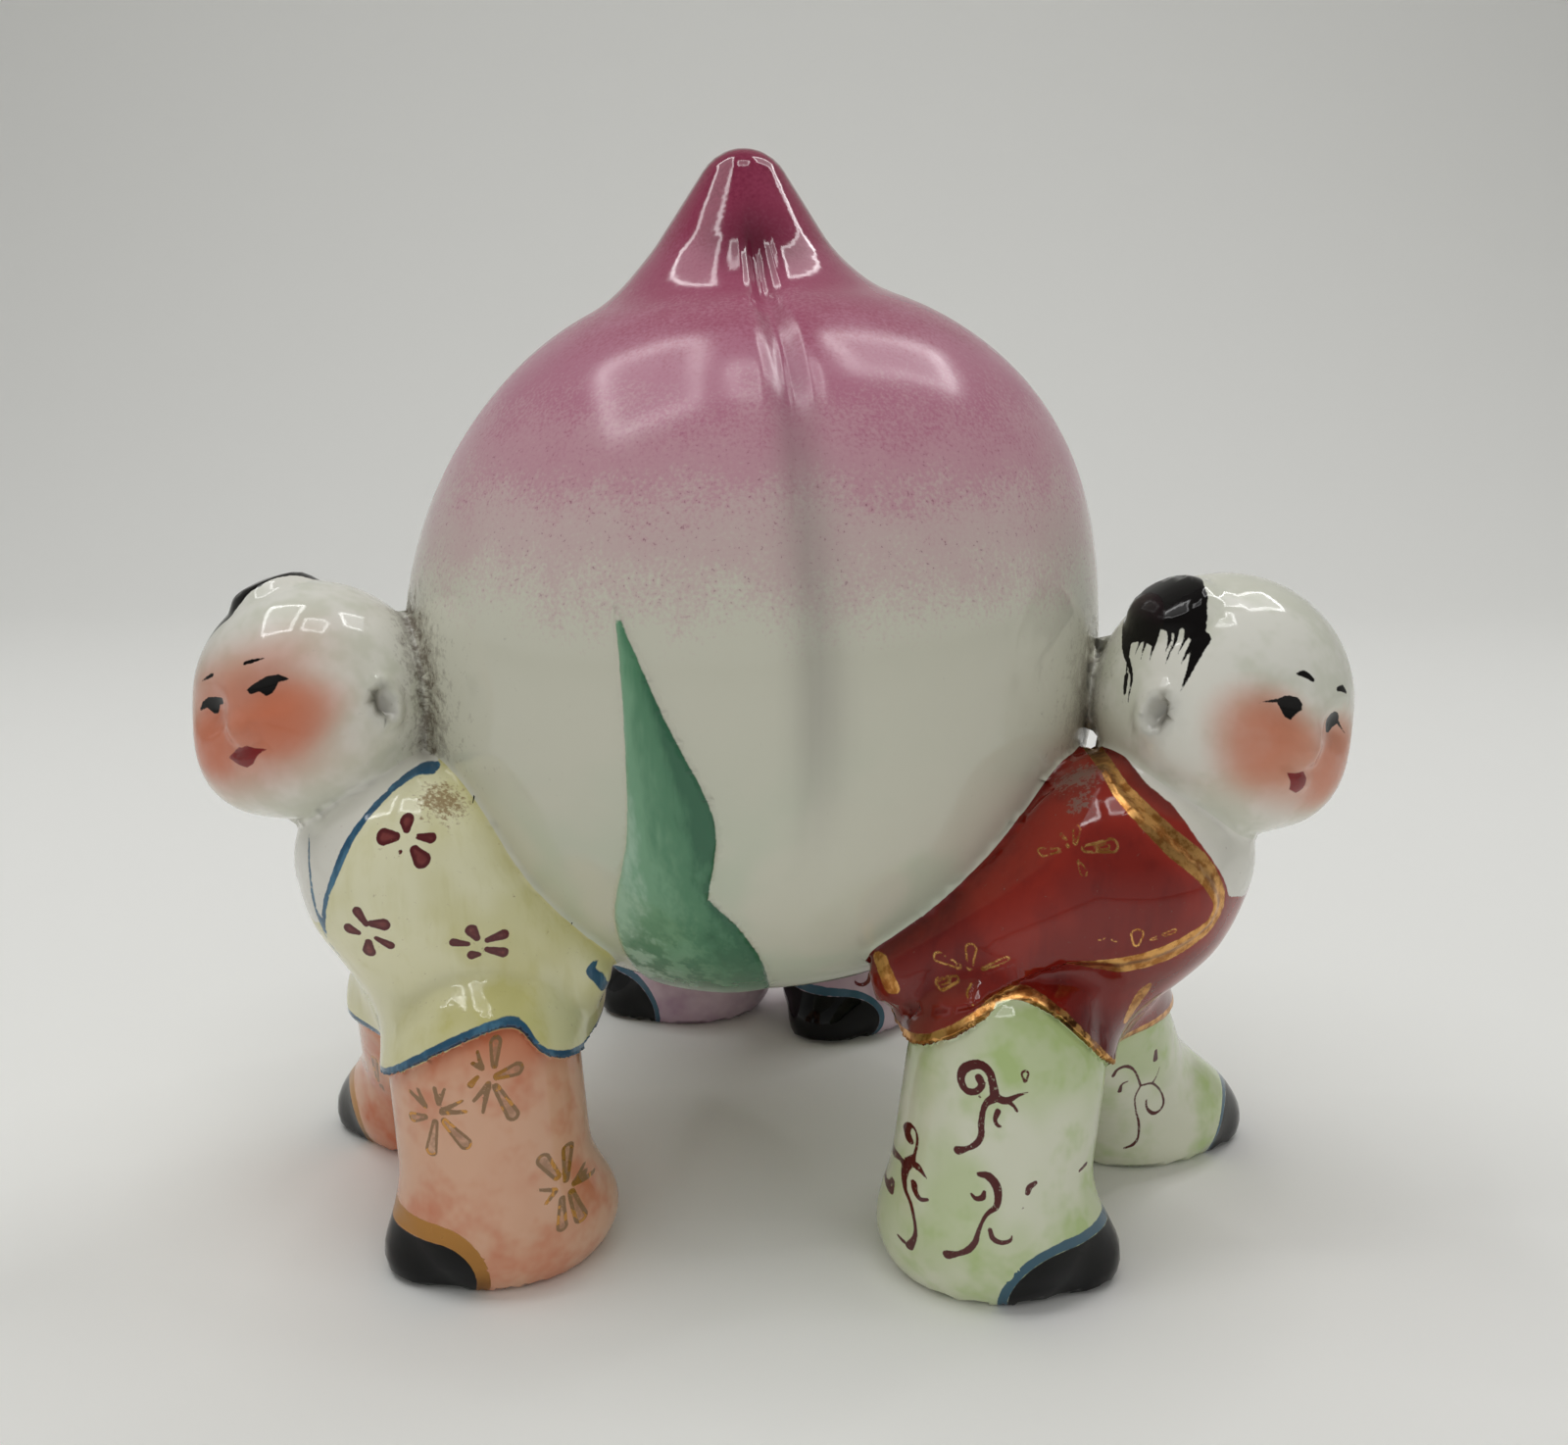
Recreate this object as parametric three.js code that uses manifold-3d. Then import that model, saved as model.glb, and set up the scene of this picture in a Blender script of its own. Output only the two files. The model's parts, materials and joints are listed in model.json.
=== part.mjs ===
// A glazed porcelain figure, cast and fused in one piece: three stocky boys carry a giant peach.
// Millimetres, +Z up. +X runs along the figure's length, from the yellow boy to the red one, and
// -Y is its front, where the peach shows its leaf and its seam.
import * as THREE from "three";
import { mergeVertices } from "three/addons/utils/BufferGeometryUtils.js";
import Module from "manifold-3d";

const wasm = await Module();
wasm.setup();

// The peach: a flattened ball with a drawn-out tip
const PEACH = {
  radius: 44.6, // at its waist
  waist: 67, // height of the widest place
  above: 47.7, // from the waist up to where the ball closes under the tip
  below: 43, // from the waist down to its lowest place
  squareness: 2.2, // 2 is an ellipse
  lean: 1.85, // how far the shoulders stand off to +X
  leaning: [68, 104], // heights between which they come to it
};
const TIP = { foot: [-1, 0, 108, 14.6], top: [-0.9, 0, 123.65, 6], blend: 5 };
const SEAM = {
  heading: -79.5, // degrees from +X to +Y, as every heading here
  depth: 1.2,
  width: 0.9,
  widening: 0.03, // how much wider it is for each millimetre of the peach's girth
  lower: [42, 66], // heights between which it deepens upwards from nothing
  upper: [116, 126], // and between which it runs out on the tip
  drift: 1.2, // how far it wanders to -X on its way up
  drifting: [70, 100], // heights between which it does
};

// The leaf moulded on the front of the peach, seen from the front as points [x, z]
const LEAF = {
  relief: 0.7,
  tip: [-13.8, 79],
  rightEdge: [[-8.4, 67], [-3.4, 56], [-4.3, 46]],
  lowerLobe: [[-0.8, 41.5], [1.6, 36], [2.4, 30]],
  lowerEdge: [[-3, 27.6], [-9, 27.8], [-13.4, 31.5]],
  leftEdge: [[-15.2, 42], [-13, 54], [-13, 68]],
};

// A boy is a set of round masses. Each is [x, y, z, radius]; headings are degrees from +X to +Y.
// Every head is the same but for its size. Its own axes run out of the face, to the boy's left and
// up; what comes in pairs is given on the left.
const HEAD = {
  size: [15.4, 15.3, 15.5],
  cheek: [6.6, 6, -4.6, 7.1],
  chin: [9, 0, -8.2, 4.7],
  nose: { at: [14.9, 0, -1.2], size: [1.8, 1.7, 1.9] },
  lips: { at: [14.3, 0, -5], size: [1.5, 2.6, 1.2] },
  eyeSocket: { at: [15.6, 6.2, 2.6], size: [2.4, 4.6, 2.3] },
  ear: { at: [5, 14.1, -3.4], size: [2.5, 1.7, 3.3] },
  earHollow: { at: [5.9, 15.2, -3.4], size: [1.1, 2.2, 2] },
};
const BOYS = [
  {
    name: "red",
    hips: [30.5, -23, 29, 12.6],
    chest: [44, -25, 44.5, 13],
    collar: [52, -23, 46.5, 8.5],
    sleeves: [{ shoulder: [43.5, -29, 44.5, 12], cuff: [20, -29, 33.5, 5.4] },
      { shoulder: [43.5, -20, 45, 11], cuff: [24, -12, 34, 5.4] }],
    legs: [{ thigh: [30, -34, 23.5, 11.6], ankle: [27.8, -37.4, 9, 11.6], foot: [28.5, -37], heading: -12 },
      { thigh: [42, -16, 25, 10], ankle: [49, -6, 9, 9.8], foot: [52, -5.2], heading: 14 }],
    hem: { along: 0, line: [[14, 24.5], [21, 28.9], [26, 32.1], [30.6, 33.9], [36, 31.4], [42.5, 24]] },
    head: { at: [56.6, -20, 64.3], radius: 0.99, heading: -61.5, lean: 21.4, leansTo: 8 },
  },
  {
    name: "yellow",
    hips: [-31.5, -22, 29, 12.6],
    chest: [-39.9, -25, 45, 11.8],
    collar: [-46.2, -23, 46.5, 8],
    sleeves: [{ shoulder: [-40.5, -28, 45, 11.2], cuff: [-22, -27, 33, 5.4] },
      { shoulder: [-40.5, -19, 45, 10.5], cuff: [-25, -10, 34, 5.4] }],
    legs: [{ thigh: [-31, -33, 23, 11.2], ankle: [-29.6, -35, 9, 11.2], foot: [-28.6, -33.6], heading: 205 },
      { thigh: [-41, -15, 25, 9.6], ankle: [-43.6, -3, 9, 9.4], foot: [-43.4, -2], heading: 166 }],
    hem: { along: 180, line: [[17, 24.4], [22.6, 27.2], [26.6, 31], [34, 29], [42.5, 23.6]] },
    head: { at: [-52, -20, 64.4], radius: 0.92, heading: 247.5, lean: 19.8, leansTo: 155 },
  },
  {
    name: "lilac",
    hips: [2.5, 41, 29, 12.6],
    chest: [-5, 49, 45, 12.4],
    collar: [-8.5, 53, 48, 8.4],
    sleeves: [{ shoulder: [-4, 52, 45, 11.4], cuff: [19, 42, 33.5, 5.4] },
      { shoulder: [-8, 45, 45, 11], cuff: [-27, 32, 47, 6] }],
    legs: [{ thigh: [-5, 42, 24, 11], ankle: [-10, 43, 9, 10.6], foot: [-11, 43], heading: 190 },
      { thigh: [11, 40, 24, 11], ankle: [15, 39.5, 9, 10.6], foot: [16, 39], heading: 236 }],
    hem: { along: 195, line: [[-24, 26], [-12, 29], [-4, 33.4], [4, 29], [14, 25]] },
    head: { at: [-12, 58, 64.5], radius: 1, heading: 142, lean: 18, leansTo: 130 },
  },
];

// The foot and its trouser leg, the same on every boy
const FOOT = {
  hemSize: [13.1, 10.6, 8.4], // along the foot, across it, up
  hemHeight: 5,
  shoeSize: [6.9, 6.4, 6.2],
  shoeHeight: 2.6,
  shoeAhead: 8.2, // from the middle of the hem to the middle of the shoe's toe
};
const JACKET_STANDS_PROUD = 1;

const BODY_CELL = 4.2; // size of the facets on a body
const FAR_DOWN = 30; // reaches below everything
const PAST_HEM = 12; // and this past either end of a hem
const ACROSS = 80; // past the figure's middle plane, more than any boy's outer side

// Small vector helpers
const minus = (a, b) => [a[0] - b[0], a[1] - b[1], a[2] - b[2]];
const plus = (a, b, scale = 1) => [a[0] + b[0] * scale, a[1] + b[1] * scale, a[2] + b[2] * scale];
const dot = (a, b) => a[0] * b[0] + a[1] * b[1] + a[2] * b[2];
const size = (a) => Math.hypot(...a);
const radians = (degrees) => (degrees * Math.PI) / 180;
const clamp = (value, low, high) => Math.min(Math.max(value, low), high);
const smoothStep = (low, high, value) => {
  const t = clamp((value - low) / (high - low), 0, 1);
  return t * t * (3 - 2 * t);
};

// Forms: each is a function of a point that is below 0 inside and above 0 outside
const ball = ([x, y, z, radius]) => (p) => size(minus(p, [x, y, z])) - radius;

// A limb is the smooth skin over two balls of different radius
function limb(from, to) {
  const along = minus(to.slice(0, 3), from.slice(0, 3));
  const span = size(along);
  const taper = (from[3] - to[3]) / span;
  const straight = Math.sqrt(1 - taper * taper);
  return (p) => {
    const off = minus(p, from.slice(0, 3));
    const ahead = dot(off, along) / span;
    const aside = Math.sqrt(Math.max(dot(off, off) - ahead * ahead, 0));
    const side = straight * ahead - taper * aside;
    if (side < 0) return size(off) - from[3];
    if (side > straight * span) return size(minus(p, to.slice(0, 3))) - to[3];
    return straight * aside + taper * ahead - from[3];
  };
}

function egg(centre, radii, turn = (q) => q) {
  return (p) => {
    const q = turn(minus(p, centre));
    const scaled = size([q[0] / radii[0], q[1] / radii[1], q[2] / radii[2]]);
    const steepness = size([q[0] / radii[0] ** 2, q[1] / radii[1] ** 2, q[2] / radii[2] ** 2]);
    return steepness ? (scaled * (scaled - 1)) / steepness : -Math.min(...radii);
  };
}

const pairBlend = (a, b, width) => {
  const nearness = Math.max(width - Math.abs(a - b), 0) / width;
  return Math.min(a, b) - (nearness * nearness * width) / 4;
};
const blend = (width, ...forms) => (p) =>
  forms.map((form) => form(p)).reduce((a, b) => pairBlend(a, b, width));
const carve = (width, form, tool) => (p) => -pairBlend(-form(p), tool(p), width);

// Turns a vector from the figure's frame into one whose first axis points along a heading
const intoHeading = (heading) => {
  const c = Math.cos(radians(heading));
  const s = Math.sin(radians(heading));
  return (v) => [v[0] * c + v[1] * s, v[1] * c - v[0] * s, v[2]];
};

function peachForm() {
  const { radius, waist, above, below, squareness } = PEACH;
  const tip = limb(TIP.foot, TIP.top);
  const seamHeading = radians(SEAM.heading);
  return (p) => {
    const girth = Math.hypot(p[0], p[1]);
    const turned = Math.atan2(p[1], p[0]) - seamHeading;
    const drift = SEAM.drift * smoothStep(...SEAM.drifting, p[2]);
    const offSeam = girth * Math.atan2(Math.sin(turned), Math.cos(turned)) + drift;
    const seamWidth = SEAM.width + SEAM.widening * girth;
    const depth = SEAM.depth * smoothStep(...SEAM.lower, p[2]) * (1 - smoothStep(...SEAM.upper, p[2]));
    const seam = Math.cos(turned) > 0 ? depth * Math.exp(-((offSeam / seamWidth) ** 2)) : 0;
    const height = (p[2] - waist) / (p[2] > waist ? above : below);
    const reach = Math.hypot(p[0] - PEACH.lean * smoothStep(...PEACH.leaning, p[2]), p[1]);
    const fullness = ((reach / radius) ** squareness + Math.abs(height) ** squareness) ** (1 / squareness);
    return pairBlend((fullness - 1) * radius, tip(p), TIP.blend) + seam;
  };
}

// What lies under the jacket's hem, an arch over the near thigh, as a block to cut away
function underHem({ along, line }) {
  const [back, front] = [line[0], line[line.length - 1]];
  const outline = new THREE.Shape();
  outline.moveTo(back[0] - PAST_HEM, -FAR_DOWN);
  outline.lineTo(back[0] - PAST_HEM, back[1]);
  outline.lineTo(...back);
  outline.splineThru(line.slice(1).map(([ahead, height]) => new THREE.Vector2(ahead, height)));
  outline.lineTo(front[0] + PAST_HEM, front[1]);
  outline.lineTo(front[0] + PAST_HEM, -FAR_DOWN);
  const shape = { depth: 2 * ACROSS, bevelEnabled: false, curveSegments: 2 };
  const block = new THREE.ExtrudeGeometry(outline, shape).translate(0, 0, -ACROSS);
  return solidOf(block.rotateX(Math.PI / 2).rotateZ(radians(along)));
}

function trousersForm({ legs, hips }) {
  const leg = ({ thigh, ankle, foot, heading }) =>
    blend(4, limb(thigh, ankle), egg([...foot, FOOT.hemHeight], FOOT.hemSize, intoHeading(heading)));
  return blend(2, ...legs.map(leg), ball(hips));
}

function jacketForm({ hips, chest, collar, sleeves, legs }) {
  const thighs = legs.map(({ thigh, ankle }) => limb(thigh, ankle));
  const skirt = blend(5, limb(hips, chest), ...thighs);
  const trunk = blend(4, (p) => skirt(p) - JACKET_STANDS_PROUD, limb(chest, collar));
  return blend(1.6, trunk, ...sleeves.map(({ shoulder, cuff }) => limb(shoulder, cuff)));
}

// A head's own frame: first axis out of the face, second to the boy's left, third up
function intoHead({ heading, lean, leansTo }) {
  const upright = intoHeading(leansTo);
  const [c, s] = [Math.cos(radians(lean)), Math.sin(radians(lean))];
  const face = intoHeading(heading - leansTo);
  return (v) => {
    const [ahead, side, up] = upright(v);
    return face([ahead * c - up * s, side, ahead * s + up * c]);
  };
}

function headForm(head) {
  const turn = intoHead(head);
  const mirrored = ([ahead, side, up]) => [[ahead, -side, up], [ahead, side, up]];
  const pair = ({ at, size: radii }) => mirrored(at).map((centre) => egg(centre, radii));
  const cheeks = mirrored(HEAD.cheek).map((centre) => ball([...centre, HEAD.cheek[3]]));
  const round = blend(4, egg([0, 0, 0], HEAD.size), ...cheeks, ball(HEAD.chin));
  const withEyes = pair(HEAD.eyeSocket).reduce((form, socket) => carve(2, form, socket), round);
  const [nose, lips] = [HEAD.nose, HEAD.lips].map(({ at, size: radii }) => egg(at, radii));
  const features = blend(1.4, withEyes, nose, lips, ...pair(HEAD.ear));
  const whole = pair(HEAD.earHollow).reduce((form, hollow) => carve(0.8, form, hollow), features);
  return (p) => {
    const q = turn(minus(p, head.at));
    return whole(q.map((value) => value / head.radius)) * head.radius;
  };
}

// Turns a form into a mesh, with a point in each grid cell for each sheet of surface that crosses it
function netMesh(form, cell, low, high) {
  const count = low.map((value, axis) => Math.ceil((high[axis] - value) / cell) + 1);
  const index = ([i, j, k]) => i + count[0] * (j + count[1] * k);
  const place = (corner) => corner.map((step, axis) => low[axis] + step * cell);
  const values = new Float64Array(count[0] * count[1] * count[2]);
  eachCell(count, 0, (corner) => (values[index(corner)] = form(place(corner))));
  const points = [];
  const sheets = new Map();
  eachCell(count, 1, (corner) => {
    for (const [sheet, point] of cellPoints(corner, values, index, place)) {
      sheets.set(`${corner} ${sheet}`, points.length);
      points.push(ontoSurface(form, point, cell));
    }
  });
  const faces = [];
  eachCell(count, 1, (corner) => {
    STEPS.forEach((step, axis) => {
      const next = plus(corner, step);
      const inside = values[index(corner)] < 0;
      if (inside === values[index(next)] < 0) return;
      const [first, second] = [STEPS[(axis + 1) % 3], STEPS[(axis + 2) % 3]];
      const round = [[0, 0], [1, 0], [1, 1], [0, 1]].map(([a, b]) => {
        const cellAt = plus(plus(corner, first, -a), second, -b);
        const ends = inside ? [corner, next] : [next, corner];
        return sheets.get(`${cellAt} ${sheetOf(cellAt, ...ends, values, index)}`);
      });
      faces.push(...splitQuad(points, inside ? round : round.reverse()));
    });
  });
  return { points, faces };
}

const STEPS = [[1, 0, 0], [0, 1, 0], [0, 0, 1]];
const CORNERS = [0, 1, 2, 3, 4, 5, 6, 7];
const cornerOf = (n, cell) => [cell[0] + (n & 1), cell[1] + ((n >> 1) & 1), cell[2] + (n >> 2)];
const numberOf = (corner, cell) => {
  const [i, j, k] = minus(corner, cell);
  return i + 2 * j + 4 * k;
};

function eachCell(count, margin, visit) {
  for (let k = margin; k < count[2] - margin; k++) {
    for (let j = margin; j < count[1] - margin; j++) {
      for (let i = margin; i < count[0] - margin; i++) visit([i, j, k]);
    }
  }
}

// Joins a cell's corners into groups: along its edges, and outside the form across its faces too
function cornerGroups(cell, values, index) {
  const inside = CORNERS.map((n) => values[index(cornerOf(n, cell))] < 0);
  const group = [...CORNERS];
  for (const a of CORNERS) {
    for (const b of CORNERS) {
      const alongEdge = [1, 2, 4].includes(a ^ b);
      const acrossFace = [3, 5, 6].includes(a ^ b) && !inside[a];
      if (inside[a] !== inside[b] || !(alongEdge || acrossFace)) continue;
      const [from, to] = [group[a], group[b]];
      CORNERS.forEach((n) => (group[n] = group[n] === from ? to : group[n]));
    }
  }
  return group;
}

// A sheet is named by the group inside it and the group outside it
function sheetOf(cell, insideCorner, outsideCorner, values, index) {
  const group = cornerGroups(cell, values, index);
  return `${group[numberOf(insideCorner, cell)]}/${group[numberOf(outsideCorner, cell)]}`;
}

function cellPoints(cell, values, index, place) {
  const crossings = new Map();
  const levels = CORNERS.map((n) => values[index(cornerOf(n, cell))]);
  if (levels.every((level) => level < 0 === levels[0] < 0)) return crossings;
  const group = cornerGroups(cell, values, index);
  for (const a of CORNERS) {
    for (const b of CORNERS) {
      if (![1, 2, 4].includes(a ^ b) || !(levels[a] < 0) || levels[b] < 0) continue;
      const from = place(cornerOf(a, cell));
      const towards = minus(place(cornerOf(b, cell)), from);
      const crossing = plus(from, towards, levels[a] / (levels[a] - levels[b]));
      const sheet = `${group[a]}/${group[b]}`;
      crossings.set(sheet, [...(crossings.get(sheet) ?? []), crossing]);
    }
  }
  const middle = (list) => list.reduce((sum, point) => plus(sum, point, 1 / list.length), [0, 0, 0]);
  return [...crossings].map(([sheet, list]) => [sheet, middle(list)]);
}

const slopeOf = (form, p, step = 0.01) =>
  [0, 1, 2].map((axis) => {
    const ahead = [...p];
    const behind = [...p];
    ahead[axis] += step;
    behind[axis] -= step;
    return (form(ahead) - form(behind)) / (2 * step);
  });

function ontoSurface(form, point, cell) {
  let p = point;
  for (let round = 0; round < 4; round++) {
    const slope = slopeOf(form, p);
    const travel = clamp(-form(p) / Math.max(dot(slope, slope), 0.2), -cell / 4, cell / 4);
    p = plus(p, slope, travel);
  }
  return p;
}

// A quad is parted along its shorter diagonal
function splitQuad(points, [a, b, c, d]) {
  const first = size(minus(points[a], points[c]));
  const second = size(minus(points[b], points[d]));
  return first <= second ? [[a, b, c], [a, c, d]] : [[a, b, d], [b, c, d]];
}

// How far the surface of a form lies from a centre inside it, along one direction
function reachOf(form, centre, direction, longest) {
  let near = 0;
  let far = longest;
  for (let round = 0; round < 30; round++) {
    const middle = (near + far) / 2;
    if (form(plus(centre, direction, middle)) < 0) near = middle;
    else far = middle;
  }
  return (near + far) / 2;
}

// Turns a closed geometry into a solid that booleans can use
function solidOf(geometry) {
  geometry.deleteAttribute("normal");
  geometry.deleteAttribute("uv");
  const merged = mergeVertices(geometry, 1e-4);
  const vertProperties = new Float32Array(merged.attributes.position.array);
  const triVerts = new Uint32Array(merged.index.array);
  return new wasm.Manifold(new wasm.Mesh({ numProp: 3, vertProperties, triVerts }));
}

// Stretches a unit sphere round a centre until it meets a form all over
function wrapped(sphere, form, centre, longest, aim = (direction) => direction) {
  const position = sphere.attributes.position;
  for (let n = 0; n < position.count; n++) {
    const raw = [position.getX(n), position.getY(n), position.getZ(n)];
    const direction = aim(raw.map((value) => value / size(raw)));
    position.setXYZ(n, ...plus(centre, direction, reachOf(form, centre, direction, longest)));
  }
  return solidOf(sphere);
}

const PEACH_COLUMNS = 38;
const PEACH_ROWS = 23;
const FRONT_CROWDING = 0.42; // draws the peach's columns together round the seam and leaf
const TIP_CROWDING = 0.3; // and its rows together at the tip

// The poles of the sphere lie on Z, its columns crowd to the front and its rows to the tip
function peachAim([x, y, z]) {
  const heading = Math.atan2(y, x);
  const offFront = heading - radians(SEAM.heading);
  const turned = heading - FRONT_CROWDING * Math.sin(offFront);
  const slant = Math.acos(clamp(z, -1, 1));
  const lifted = slant - TIP_CROWDING * Math.sin(slant) * (1 + Math.cos(slant));
  return [Math.sin(lifted) * Math.cos(turned), Math.sin(lifted) * Math.sin(turned), Math.cos(lifted)];
}

function leafOutline() {
  const outline = new THREE.Shape();
  outline.moveTo(...LEAF.tip);
  const backToTip = [...LEAF.lowerEdge, ...LEAF.leftEdge, LEAF.tip];
  for (const edge of [LEAF.rightEdge, LEAF.lowerLobe, backToTip]) {
    outline.splineThru(edge.map(([x, z]) => new THREE.Vector2(x, z)));
  }
  return outline;
}

function peachSolid() {
  const form = peachForm();
  const centre = [0, 0, PEACH.waist];
  const grid = () => new THREE.SphereGeometry(1, PEACH_COLUMNS, PEACH_ROWS).rotateX(Math.PI / 2);
  const flesh = wrapped(grid(), form, centre, 80, peachAim);
  const raised = wrapped(grid(), (p) => form(p) - LEAF.relief, centre, 80, peachAim);
  const shape = { depth: 50, bevelEnabled: false, curveSegments: 2 };
  const block = new THREE.ExtrudeGeometry(leafOutline(), shape).rotateX(Math.PI / 2);
  return flesh.add(raised.intersect(solidOf(block.translate(0, -8, 0))));
}

// The grid of a body reaches past all its masses
function bodyRoom({ hips, chest, collar, sleeves, legs }) {
  const margin = 3 * BODY_CELL;
  const arms = sleeves.flatMap(({ shoulder, cuff }) => [shoulder, cuff]);
  const shanks = legs.flatMap(({ thigh, ankle }) => [thigh, ankle]);
  const feet = legs.map(({ foot }) => [...foot, FOOT.hemHeight, FOOT.hemSize[0]]);
  const masses = [hips, chest, collar, ...arms, ...shanks, ...feet];
  const furthest = (axis, sign) =>
    Math.max(...masses.map((mass) => sign * mass[axis] + mass[3])) + margin;
  const low = [-furthest(0, -1), -furthest(1, -1), -4 * BODY_CELL];
  return { low, high: [furthest(0, 1), furthest(1, 1), furthest(2, 1)] };
}

function clothSolid(form, { low, high }) {
  const { points, faces } = netMesh(form, BODY_CELL, low, high);
  const geometry = new THREE.BufferGeometry();
  geometry.setAttribute("position", new THREE.Float32BufferAttribute(points.flat(), 3));
  geometry.setIndex(faces.flat());
  return solidOf(geometry);
}

// Below the ground the trousers run straight down, so that they are cut off square there
function trousersSolid(boy) {
  const form = trousersForm(boy);
  const rooted = (p) => Math.max(form([p[0], p[1], Math.max(p[2], 0)]), -1.5 * BODY_CELL - p[2]);
  return clothSolid(rooted, bodyRoom(boy));
}

const jacketSolid = (boy) => clothSolid(jacketForm(boy), bodyRoom(boy)).subtract(underHem(boy.hem));

function shoeSolid({ foot, heading }) {
  const shoe = new THREE.SphereGeometry(1, 12, 8).scale(...FOOT.shoeSize);
  shoe.translate(FOOT.shoeAhead, 0, FOOT.shoeHeight).rotateZ(radians(heading)).translate(...foot, 0);
  return solidOf(shoe);
}

const bodySolids = (boy) => [trousersSolid(boy), jacketSolid(boy), ...boy.legs.map(shoeSolid)];

const HEAD_DETAIL = 4;
const FACE_CROWDING = 0.4; // draws a head's facets together on its face

function headSolid({ head }) {
  const ahead = [Math.cos(radians(head.heading)), Math.sin(radians(head.heading)), -0.3];
  const aim = (direction) => {
    const drawn = plus(direction, ahead, FACE_CROWDING);
    return drawn.map((value) => value / size(drawn));
  };
  return wrapped(new THREE.IcosahedronGeometry(1, HEAD_DETAIL), headForm(head), head.at, 25, aim);
}

function figureSolid() {
  const parts = [peachSolid(), ...BOYS.flatMap(bodySolids), ...BOYS.map(headSolid)];
  const fused = parts.reduce((whole, part) => whole.add(part));
  const underground = solidOf(new THREE.BoxGeometry(400, 400, FAR_DOWN).translate(0, 0, -FAR_DOWN / 2));
  return fused.subtract(underground);
}

// Puts the middle of the figure's own box over the origin
function centredGeometry(solid) {
  const { vertProperties, triVerts } = solid.getMesh();
  const geometry = new THREE.BufferGeometry();
  geometry.setAttribute("position", new THREE.BufferAttribute(new Float32Array(vertProperties), 3));
  geometry.setIndex(new THREE.BufferAttribute(new Uint32Array(triVerts), 1));
  geometry.computeBoundingBox();
  const middle = geometry.boundingBox.getCenter(new THREE.Vector3());
  geometry.translate(-middle.x, -middle.y, 0);
  geometry.computeVertexNormals();
  return geometry;
}

const porcelain = new THREE.MeshStandardMaterial({ color: 0xdcdccb, roughness: 0.12, metalness: 0 });
const figure = new THREE.Mesh(centredGeometry(figureSolid()), porcelain);
figure.name = "peach_and_boys";

export default new THREE.Group().add(figure);
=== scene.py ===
# Looks of the porcelain figure: boys carrying a giant peach, one fused and glazed piece.
# Lengths are millimetres in the figure's own frame (peach over the origin) until a mesh or light is made.
import json
import math
import bpy
import numpy as np
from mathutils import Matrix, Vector

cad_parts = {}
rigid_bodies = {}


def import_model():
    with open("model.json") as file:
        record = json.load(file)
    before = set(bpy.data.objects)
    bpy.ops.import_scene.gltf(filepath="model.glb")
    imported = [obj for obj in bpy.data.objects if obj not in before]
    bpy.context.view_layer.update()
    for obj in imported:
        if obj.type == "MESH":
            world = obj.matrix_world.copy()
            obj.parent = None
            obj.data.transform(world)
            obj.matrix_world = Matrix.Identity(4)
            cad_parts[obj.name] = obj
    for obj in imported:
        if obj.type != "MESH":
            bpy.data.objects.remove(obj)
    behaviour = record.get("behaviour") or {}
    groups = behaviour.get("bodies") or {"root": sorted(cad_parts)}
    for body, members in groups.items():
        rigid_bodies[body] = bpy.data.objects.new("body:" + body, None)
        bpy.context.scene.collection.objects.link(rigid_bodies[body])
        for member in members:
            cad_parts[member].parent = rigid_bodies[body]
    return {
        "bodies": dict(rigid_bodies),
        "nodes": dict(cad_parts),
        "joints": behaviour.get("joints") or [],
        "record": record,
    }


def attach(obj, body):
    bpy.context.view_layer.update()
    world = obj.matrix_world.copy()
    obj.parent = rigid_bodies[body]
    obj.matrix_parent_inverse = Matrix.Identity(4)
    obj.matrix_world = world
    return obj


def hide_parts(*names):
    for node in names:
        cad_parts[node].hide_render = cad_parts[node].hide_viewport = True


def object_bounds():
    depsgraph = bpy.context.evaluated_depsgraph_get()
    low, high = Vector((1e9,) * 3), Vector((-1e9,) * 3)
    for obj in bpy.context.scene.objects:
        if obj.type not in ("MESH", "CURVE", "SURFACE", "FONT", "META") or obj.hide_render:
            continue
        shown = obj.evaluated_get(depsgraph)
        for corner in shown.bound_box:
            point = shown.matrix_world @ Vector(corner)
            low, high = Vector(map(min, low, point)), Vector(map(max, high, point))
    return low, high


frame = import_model()
cad_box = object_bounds()

MM = 0.001
NODE = "peach_and_boys"
FIGURE_TO_BOX = np.array([2.835, 12.149, 0])  # where the middle of the CAD box lies in the figure's frame

# The peach
PEACH = dict(radius=44.6, waist=67, above=47.7, below=43, squareness=2.2, lean=1.85, leaning=(68, 104))
TIP = dict(foot=(-1, 0, 108, 14.6), top=(-0.9, 0, 123.65, 6), blend=5)
SEAM = dict(heading=-79.5, depth=1.2, width=0.9, widening=0.03, lower=(42, 66), upper=(116, 126), drift=1.2,
            drifting=(70, 100))
LEAF = dict(
    relief=0.7,
    slope=0.35,
    tip=(-13.8, 79),
    right_edge=[(-8.4, 67), (-3.4, 56), (-4.3, 46)],
    lower_lobe=[(-0.8, 41.5), (1.6, 36), (2.4, 30)],
    lower_edge=[(-3, 27.6), (-9, 27.8), (-13.4, 31.5)],
    left_edge=[(-15.2, 42), (-13, 54), (-13, 68)],
)

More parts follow.
